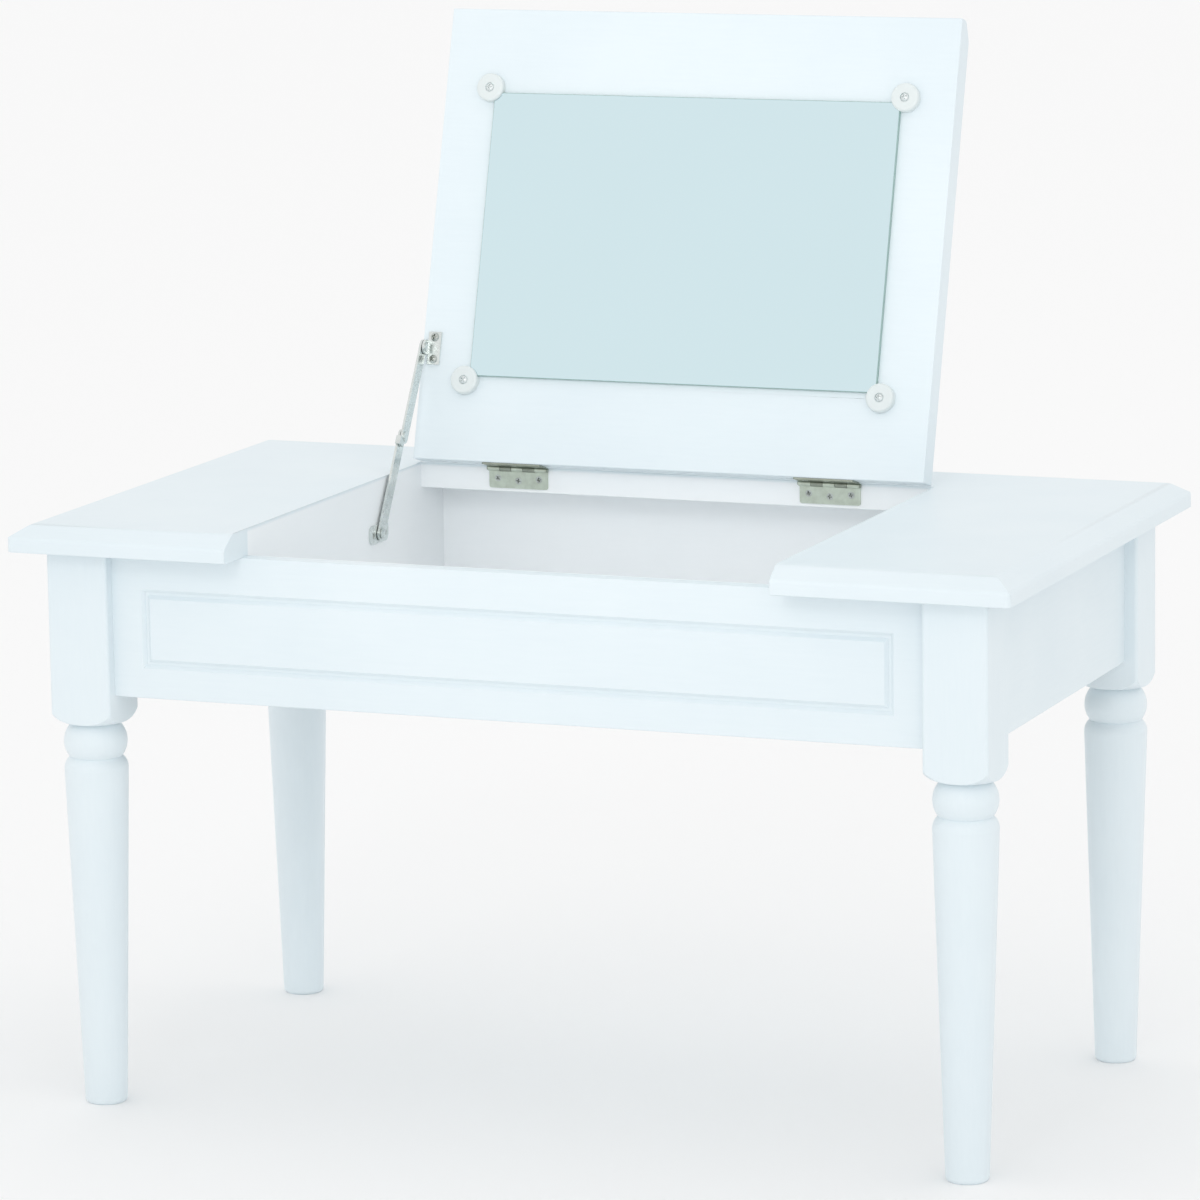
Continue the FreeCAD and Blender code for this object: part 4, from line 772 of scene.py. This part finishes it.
def leg_tree():
    """Legs turned from a half section and a square block, set at every point."""
    tree, group = new_tree("turned legs", [
        ("Section", "Object"), ("Steps round", "Int"), ("Block side", "Float"),
        ("Block easing", "Float"), ("Leg height", "Float"), ("Inner flat", "Float"),
        ("Flat height", "Float"), ("Finish", "Material")])
    side = group.other("Block side")
    height = group.other("Leg height")
    square = group.node("GeometryNodeCurvePrimitiveQuadrilateral", {}, {
        "Width": side, "Height": side})
    eased = group.node("GeometryNodeFilletCurve", {"mode": "POLY"}, {
        "Curve": square, "Count": BLOCK_STEPS, "Radius": group.other("Block easing")})
    base = group.node("GeometryNodeFillCurve", {"mode": "NGONS"}, {"Curve": eased})
    upright = group.node("ShaderNodeCombineXYZ", {}, {"Z": height + 2 * SPARE})
    raised_block = group.node("GeometryNodeExtrudeMesh", {"mode": "FACES"}, {
        "Mesh": base, "Offset": upright, "Offset Scale": 1.0, "Individual": False}, "Mesh")
    under = group.node("GeometryNodeFlipFaces", {}, {"Mesh": base})
    both = group.node("GeometryNodeJoinGeometry", {}, {"Geometry": [under, raised_block]})
    closed = group.node("GeometryNodeMergeByDistance", {}, {"Geometry": both,
                                                            "Distance": MICRON})
    block = group.node("GeometryNodeTransform", {}, {
        "Geometry": closed, "Translation": (0, 0, -SPARE)})
    squared = group.node("GeometryNodeMeshBoolean", {
        "operation": "INTERSECT", "solver": "EXACT"}, {
        "Mesh 2": [turned_solid(group), block]}, "Mesh")

    flat_height = group.other("Flat height")
    cutter = group.node("GeometryNodeMeshCube", {}, {
        "Size": group.node("ShaderNodeCombineXYZ", {}, {
            "X": side, "Y": side * 2, "Z": flat_height + SPARE})}, "Mesh")
    reach = (side - group.other("Inner flat")) * math.sqrt(0.5) + side * 0.5
    diagonal = reach * math.sqrt(0.5)
    spot = group.node("ShaderNodeCombineXYZ", {}, {
        "X": diagonal, "Y": diagonal, "Z": height - flat_height * 0.5 + SPARE / 2})
    cutter = group.node("GeometryNodeTransform", {}, {
        "Geometry": cutter, "Translation": spot, "Rotation": (0, 0, math.radians(45))})
    shaped = group.node("GeometryNodeMeshBoolean", {
        "operation": "DIFFERENCE", "solver": "EXACT"}, {
        "Mesh 1": squared, "Mesh 2": cutter}, "Mesh")
    facing = group.node("FunctionNodeAlignRotationToVector", {"axis": "X"}, {
        "Vector": read_vector(group, "facing")})
    placed = group.node("GeometryNodeInstanceOnPoints", {}, {
        "Points": group, "Instance": shaped, "Rotation": facing})
    finish_tree(placed, group)
    return tree


def run_tree(piece, tree, values):
    """Run a tree on a piece with the given inputs and keep the result as a plain mesh."""
    modifier = piece.modifiers.new("shape", "NODES")
    modifier.node_group = tree
    for item in tree.interface.items_tree:
        if item.item_type == "SOCKET" and item.in_out == "INPUT" and item.name in values:
            modifier[item.identifier] = values[item.name]
    apply_modifiers(piece)
    if not piece.data.polygons:
        raise RuntimeError(f"{piece.name} came out empty")


def set_turned(name, node, tree, section, places, facing, crease, values):
    """Turn a half section of radius and height pairs at some places, for a CAD node."""
    shape = points_object(name + " section", [(radius, 0, height) for radius, height in section])
    piece = points_object(name, places, facing=facing)
    run_tree(piece, tree, {"Section": shape, **values})
    bpy.data.objects.remove(shape)
    shade(piece, crease)
    settle(piece, node)


def leg_section(sizes, top, block_side):
    """The leg's half section, from the middle of its foot to the middle of its top."""
    steps = sizes.arc_steps
    waist = sizes.neck_height - sizes.bead_drop
    shoulder = waist - sizes.shoulder_drop
    beyond = block_side * math.sqrt(0.5) + PAST_BLOCK
    corners = [
        ((sizes.foot_face, 0), None),
        ((sizes.foot_radius, sizes.foot_rise), sizes.foot_curve),
        ((sizes.shaft_radius, shoulder), None),
        ((sizes.waist_radius, waist), sizes.shoulder_radius),
        ((sizes.neck_radius, sizes.neck_height), sizes.bead_radius),
        ((beyond, sizes.neck_height + sizes.pommel_rise), sizes.pommel_radius),
        ((beyond, top), None),
    ]
    points = [(0, 0)]
    for place, curve in corners:
        if curve:
            points += [tuple(point) for point in bulge(points[-1], place, curve, steps)]
        else:
            points.append(place)
    return points + [(0, top)]


def make_leg(corner, tree, material):
    """One turned leg at its corner of the table."""
    sizes = bpy.context.scene.vanity_legs
    node = corner + "_leg"
    low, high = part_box(node)
    middle = (low + high) / 2
    side = high.x - low.x
    facing = Matrix.Rotation(math.radians(-45), 3, "Z") @ towards_middle(middle)
    section = leg_section(sizes, high.z, side)
    set_turned(corner + "_turned_leg", node, tree, section,
               [(middle.x, middle.y, 0)], [facing], LEG_CREASE, {
                   "Steps round": sizes.steps_round, "Block side": side,
                   "Block easing": sizes.block_easing, "Leg height": high.z,
                   "Inner flat": sizes.inner_flat, "Flat height": sizes.apron_height,
                   "Finish": material})


# ---- screws and bolts

def flat_head(radius, shank, reach, rows):
    """Half section of a countersunk screw, its face at height nought."""
    easing = 0.05 * radius
    points = [(0, -reach), (shank, -reach + 2 * shank), (shank, -(radius - shank)),
              (radius, -easing)]
    face = radius - easing
    return points + [(face * (1 - row / rows), 0) for row in range(rows + 1)]


def round_head(radius, shank, reach, rows, rise):
    """Half section of a round-headed screw, the top of its head at height nought."""
    points = [(0, -reach), (shank, -reach + 2 * shank), (shank, -rise)]
    ball = (radius * radius + rise * rise) / (2 * rise)
    widest = math.asin(min(1, radius / ball))
    for row in range(rows + 1):
        tilt = widest * (1 - row / rows)
        points.append((ball * math.sin(tilt), ball * (math.cos(tilt) - 1)))
    return points


def make_screws(name, node, facing, tree, material, rise=None):
    """Screws with crossed heads in place of a node's plain ones."""
    sizes = bpy.context.scene.vanity_screws
    found = [measure(points, facing) for points in solids_of(node)]
    reach, radius = found[0][1:]
    shank = radius * sizes.shank_share
    if rise:
        head = round_head(radius, shank, reach, sizes.top_rows, rise)
    else:
        head = flat_head(radius, shank, reach, sizes.top_rows)
    places = [entry[0] for entry in found]
    set_turned(name, node, tree, head, places, [facing] * len(found), SCREW_CREASE, {
        "Steps round": sizes.steps_round, "Rim row": RIM_ROW,
        "Cross reach": radius * sizes.cross_reach, "Cross width": radius * sizes.cross_width,
        "Cross depth": radius * sizes.cross_depth, "Seed": sizes.turn_seed,
        "Finish": material})


def thread_section(reach, radius, sizes):
    """Half section of a threaded rod, its outer end at height nought."""
    core = radius - sizes.thread_depth
    points = [(0, -reach), (core, -reach)]
    turns = int((reach - sizes.thread_pitch) / sizes.thread_pitch)
    for turn in range(turns):
        foot = -reach + sizes.thread_pitch * (turn + 0.5)
        points += [(core, foot), (radius, foot + sizes.thread_pitch / 2)]
    return points + [(core, -sizes.thread_depth / 2), (core - sizes.thread_depth / 2, 0), (0, 0)]


# ---- operators

class VANITY_OT_legs(bpy.types.Operator):
    """Turn the four legs"""
    bl_idname = "vanity.legs"
    bl_label = "Turned legs"

    def execute(self, context):
        material = painted("leg paint", "z", context.scene.vanity_finishes)
        tree = leg_tree()
        for corner in CORNERS:
            make_leg(corner, tree, material)
        return {"FINISHED"}


class VANITY_OT_boards(bpy.types.Operator):
    """Paint the top, the lid, the aprons and the storage box"""
    bl_idname = "vanity.boards"
    bl_label = "Painted boards"

    def execute(self, context):
        finishes = context.scene.vanity_finishes
        lengthwise = painted("board paint lengthwise", "x", finishes)
        crosswise = painted("board paint crosswise", "y", finishes)
        for node, name, eased in (("top_frame", "moulded_top", top_edges),
                                  ("lid_panel", "moulded_lid", every_edge),
                                  ("front_apron", "routed_front_apron", long_edges),
                                  ("back_apron", "plain_back_apron", long_edges)):
            dress(node, name, lengthwise, eased=eased)
        for side in ("left", "right"):
            dress(side + "_apron", side + "_side_apron", crosswise,
                  eased=long_edges)
            dress(side + "_box_wall", side + "_inner_wall", crosswise)
        recolour("box_floor", lengthwise)
        return {"FINISHED"}


class VANITY_OT_corner_blocks(bpy.types.Operator):
    """Give the corner blocks their bare pine"""
    bl_idname = "vanity.corner_blocks"
    bl_label = "Corner blocks"

    def execute(self, context):
        pine = bare_pine("bare pine", context.scene.vanity_finishes)
        for corner in CORNERS:
            recolour(corner + "_corner_block", pine)
        return {"FINISHED"}


class VANITY_OT_mirror(bpy.types.Operator):
    """Cut the mirror plate and grind its edges"""
    bl_idname = "vanity.mirror"
    bl_label = "Mirror"

    def execute(self, context):
        finishes = context.scene.vanity_finishes
        piece = dress("mirror_glass", "mirror_plate",
                      silvered_glass("silvered glass", finishes))
        piece.data.materials.append(ground_glass("ground glass", finishes))
        face = max(piece.data.polygons, key=lambda polygon: polygon.area).normal.copy()
        for polygon in piece.data.polygons:
            polygon.material_index = 0 if abs(polygon.normal.dot(face)) > 0.99 else 1
        return {"FINISHED"}


class VANITY_OT_clips(bpy.types.Operator):
    """Mould the four mirror clips"""
    bl_idname = "vanity.clips"
    bl_label = "Mirror clips"

    def execute(self, context):
        plastic = clear_plastic("clip plastic", context.scene.vanity_finishes)
        for corner in MIRROR_CORNERS:
            dress(corner + "_mirror_clip", corner + "_clip", plastic)
        return {"FINISHED"}


class VANITY_OT_hinges(bpy.types.Operator):
    """Plate the two butt hinges"""
    bl_idname = "vanity.hinges"
    bl_label = "Hinges"

    def execute(self, context):
        finishes = context.scene.vanity_finishes
        nickel = plated("satin nickel", finishes.hinge, finishes.hinge_dull, 0.24, (0.06, 1, 1))
        # Painted shade: the pins and lid leaves get a darker copy of the same nickel.
        shaded_nickel = plated("dark nickel", finishes.shaded_barrel, finishes.shaded_barrel_dull, 0.28, (0.06, 1, 1))
        for side in ("left", "right"):
            for part, plate in (("rail_leaf", nickel), ("lid_leaf", shaded_nickel), ("pin", shaded_nickel)):
                node = f"{side}_hinge_{part}"
                dress(node, f"{side}_butt_{part}", plate)
        return {"FINISHED"}


class VANITY_OT_stay(bpy.types.Operator):
    """Plate the lid stay"""
    bl_idname = "vanity.stay"
    bl_label = "Lid stay"

    def execute(self, context):
        finishes = context.scene.vanity_finishes
        nickel = plated("bright nickel", finishes.stay, finishes.stay_dull, 0.17, (1, 0.2, 0.2))
        for part in ("wall_plate", "wall_rivet", "lower_arm", "upper_arm", "elbow_rivet",
                     "elbow_tail", "lid_bracket", "lid_rivet"):
            dress("stay_" + part, "bright_" + part, nickel)
        return {"FINISHED"}


class VANITY_OT_screws(bpy.types.Operator):
    """Drive the screws of the hinges, the clips, the stay and the top"""
    bl_idname = "vanity.screws"
    bl_label = "Screws"

    def execute(self, context):
        finishes = context.scene.vanity_finishes
        lean = Matrix.Rotation(-context.scene.vanity_plate.lid_lean, 3, "X")
        steel = plated("screw steel", finishes.screw, finishes.screw_dull, 0.2)
        tree = screw_tree()
        make_screws("rail_screws", "hinge_rail_screws", Vector((0, -1, 0)), tree, steel)
        make_screws("lid_edge_screws", "hinge_lid_screws", lean @ Vector((0, 1, 0)), tree,
                    steel)
        pale = plated("pale steel", finishes.clip_screw, finishes.clip_screw_dull, 0.42)
        make_screws("clip_screws", "mirror_clip_screws", lean @ -UP, tree, pale,
                    ROUND_HEAD_RISE)
        make_screws("stay_plate_screws", "stay_wall_screws", Vector((1, 0, 0)), tree, steel)
        make_screws("stay_foot_screws", "stay_lid_screws", lean @ -UP, tree, steel,
                    ROUND_HEAD_RISE)
        make_screws("top_fixing_screws", "top_screws", -UP, tree,
                    zinc_plate("zinc screws", finishes), TOP_SCREW_RISE)
        return {"FINISHED"}


class VANITY_OT_bolts(bpy.types.Operator):
    """Fit the threaded hanger bolts with their washers and nuts"""
    bl_idname = "vanity.bolts"
    bl_label = "Hanger bolts"

    def execute(self, context):
        sizes = context.scene.vanity_screws
        zinc = zinc_plate("zinc plate", context.scene.vanity_finishes)
        rods = solids_of("hanger_bolts")
        inward = [towards_middle(centre_of(points)) for points in rods]
        measured = [measure(points, facing) for points, facing in zip(rods, inward)]
        section = thread_section(*measured[0][1:], sizes)
        set_turned("threaded_bolts", "hanger_bolts", screw_tree(), section,
                   [entry[0] for entry in measured], inward, BOLT_CREASE, {
                       "Steps round": sizes.steps_round, "Cross reach": 1.0,
                       "Cross width": 1.0, "Cross depth": 0.0, "Seed": sizes.turn_seed,
                       "Finish": zinc})
        dress("hanger_nuts", "hexagon_nuts", zinc, NUT_CREASE)
        dress("hanger_washers", "round_washers", zinc)
        return {"FINISHED"}


class VANITY_OT_studio(bpy.types.Operator):
    """Set the camera, the pale floor and the soft lights"""
    bl_idname = "vanity.studio"
    bl_label = "Studio"

    def execute(self, context):
        studio = context.scene.vanity_studio
        place_camera(studio)
        lay_floor(studio)
        hang_lights(studio)
        context.scene.view_settings.view_transform = "Standard"
        context.scene.view_settings.look = "None"
        return {"FINISHED"}


PARTS = (VANITY_OT_studio, VANITY_OT_boards, VANITY_OT_legs, VANITY_OT_corner_blocks,
         VANITY_OT_mirror, VANITY_OT_clips, VANITY_OT_hinges, VANITY_OT_stay,
         VANITY_OT_screws, VANITY_OT_bolts)


class VANITY_PT_parts(bpy.types.Panel):
    """The table's parts in the order in which they are made"""
    bl_idname = "VANITY_PT_parts"
    bl_label = "Vanity table"
    bl_space_type = "VIEW_3D"
    bl_region_type = "UI"
    bl_category = "Vanity table"

    def draw(self, context):
        for part in PARTS:
            self.layout.operator(part.bl_idname)
        for name in SETTINGS:
            settings = getattr(context.scene, name)
            box = self.layout.box()
            for prop in settings.__annotations__:
                box.prop(settings, prop)


# ---- studio

def place_camera(studio):
    """The camera, turned round, raised and rolled about the middle of the table."""
    turn, lift, roll = studio.azimuth, studio.height, studio.roll
    back = Vector((math.sin(turn) * math.cos(lift), -math.cos(turn) * math.cos(lift),
                   math.sin(lift)))
    level = Vector((math.cos(turn), math.sin(turn), 0))
    above = back.cross(level)
    right = math.cos(roll) * level + math.sin(roll) * above
    up = math.cos(roll) * above - math.sin(roll) * level
    target = Vector((0, 0, studio.target_height))
    place = target - studio.aside * right + studio.above * up + studio.distance * back
    data = bpy.data.cameras.new("camera")
    data.lens = studio.lens
    data.sensor_width = 36
    data.clip_end = 100
    camera = new_object("camera", data)
    axes = Matrix((right, up, back)).transposed().to_4x4()
    camera.matrix_world = Matrix.Translation(place) @ axes
    bpy.context.scene.camera = camera


def lay_floor(studio):
    """A wide pale floor with the faintest cloudiness."""
    work = bmesh.new()
    bmesh.ops.create_circle(work, cap_ends=True, radius=FLOOR_RADIUS,
                            segments=FLOOR_STEPS)
    mesh = bpy.data.meshes.new("floor")
    work.to_mesh(mesh)
    work.free()
    material, start, shader = new_finish("pale floor")
    cloud = noise(object_place(start), 1.5, 2)
    darker = tuple(0.995 * part for part in studio.floor)
    join_up(shader, Base_Color=blend_colours(cloud, studio.floor, darker),
            Roughness=0.75 + 0.1 * cloud)
    fix(shader, Specular_IOR_Level=0.2)
    mesh.materials.append(material)
    new_object("floor", mesh)


def soft_light(name, power, size, place, aim, spread=math.pi):
    """A square soft light that looks at a point."""
    data = bpy.data.lights.new(name, "AREA")
    data.energy = power
    data.size = size
    data.spread = spread
    light = new_object(name, data)
    turned = (Vector(place) - Vector(aim)).to_track_quat("Z", "Y").to_matrix().to_4x4()
    light.matrix_world = Matrix.Translation(place) @ turned


def hang_lights(studio):
    """A white surround, a soft light on the right, a low one in front and one on the lid."""
    world = bpy.data.worlds.new("white surround")
    world.use_nodes = True
    background = world.node_tree.nodes["Background"]
    background.inputs["Color"].default_value = (1, 1, 1, 1)
    background.inputs["Strength"].default_value = studio.sky
    bpy.context.scene.world = world
    table_middle, lid_foot = (0, 0, 0.35), (0, 0.22, 0.52)
    soft_light("key light", studio.key, 2.0, (1.7, -2.9, 1.0), table_middle)
    soft_light("fill light", studio.fill, 1.0, (0.25, -3.3, 0.62), table_middle)
    soft_light("lid light", studio.lid_light, 0.5, (0.1, -1.6, 1.3), lid_foot,
               spread=math.radians(40))


# ---- add-on

CLASSES = (*SETTINGS.values(), *PARTS, VANITY_PT_parts)


def register():
    """Make the settings, the operators and the panel known."""
    for entry in CLASSES:
        bpy.utils.register_class(entry)
    for name, group in SETTINGS.items():
        setattr(bpy.types.Scene, name, PointerProperty(type=group))


def unregister():
    """Take them away again."""
    for name in SETTINGS:
        delattr(bpy.types.Scene, name)
    for entry in reversed(CLASSES):
        bpy.utils.unregister_class(entry)


def main():
    """Make every part in order."""
    register()
    for part in PARTS:
        group, name = part.bl_idname.split(".")
        getattr(getattr(bpy.ops, group), name)()


if __name__ == "__main__":
    main()
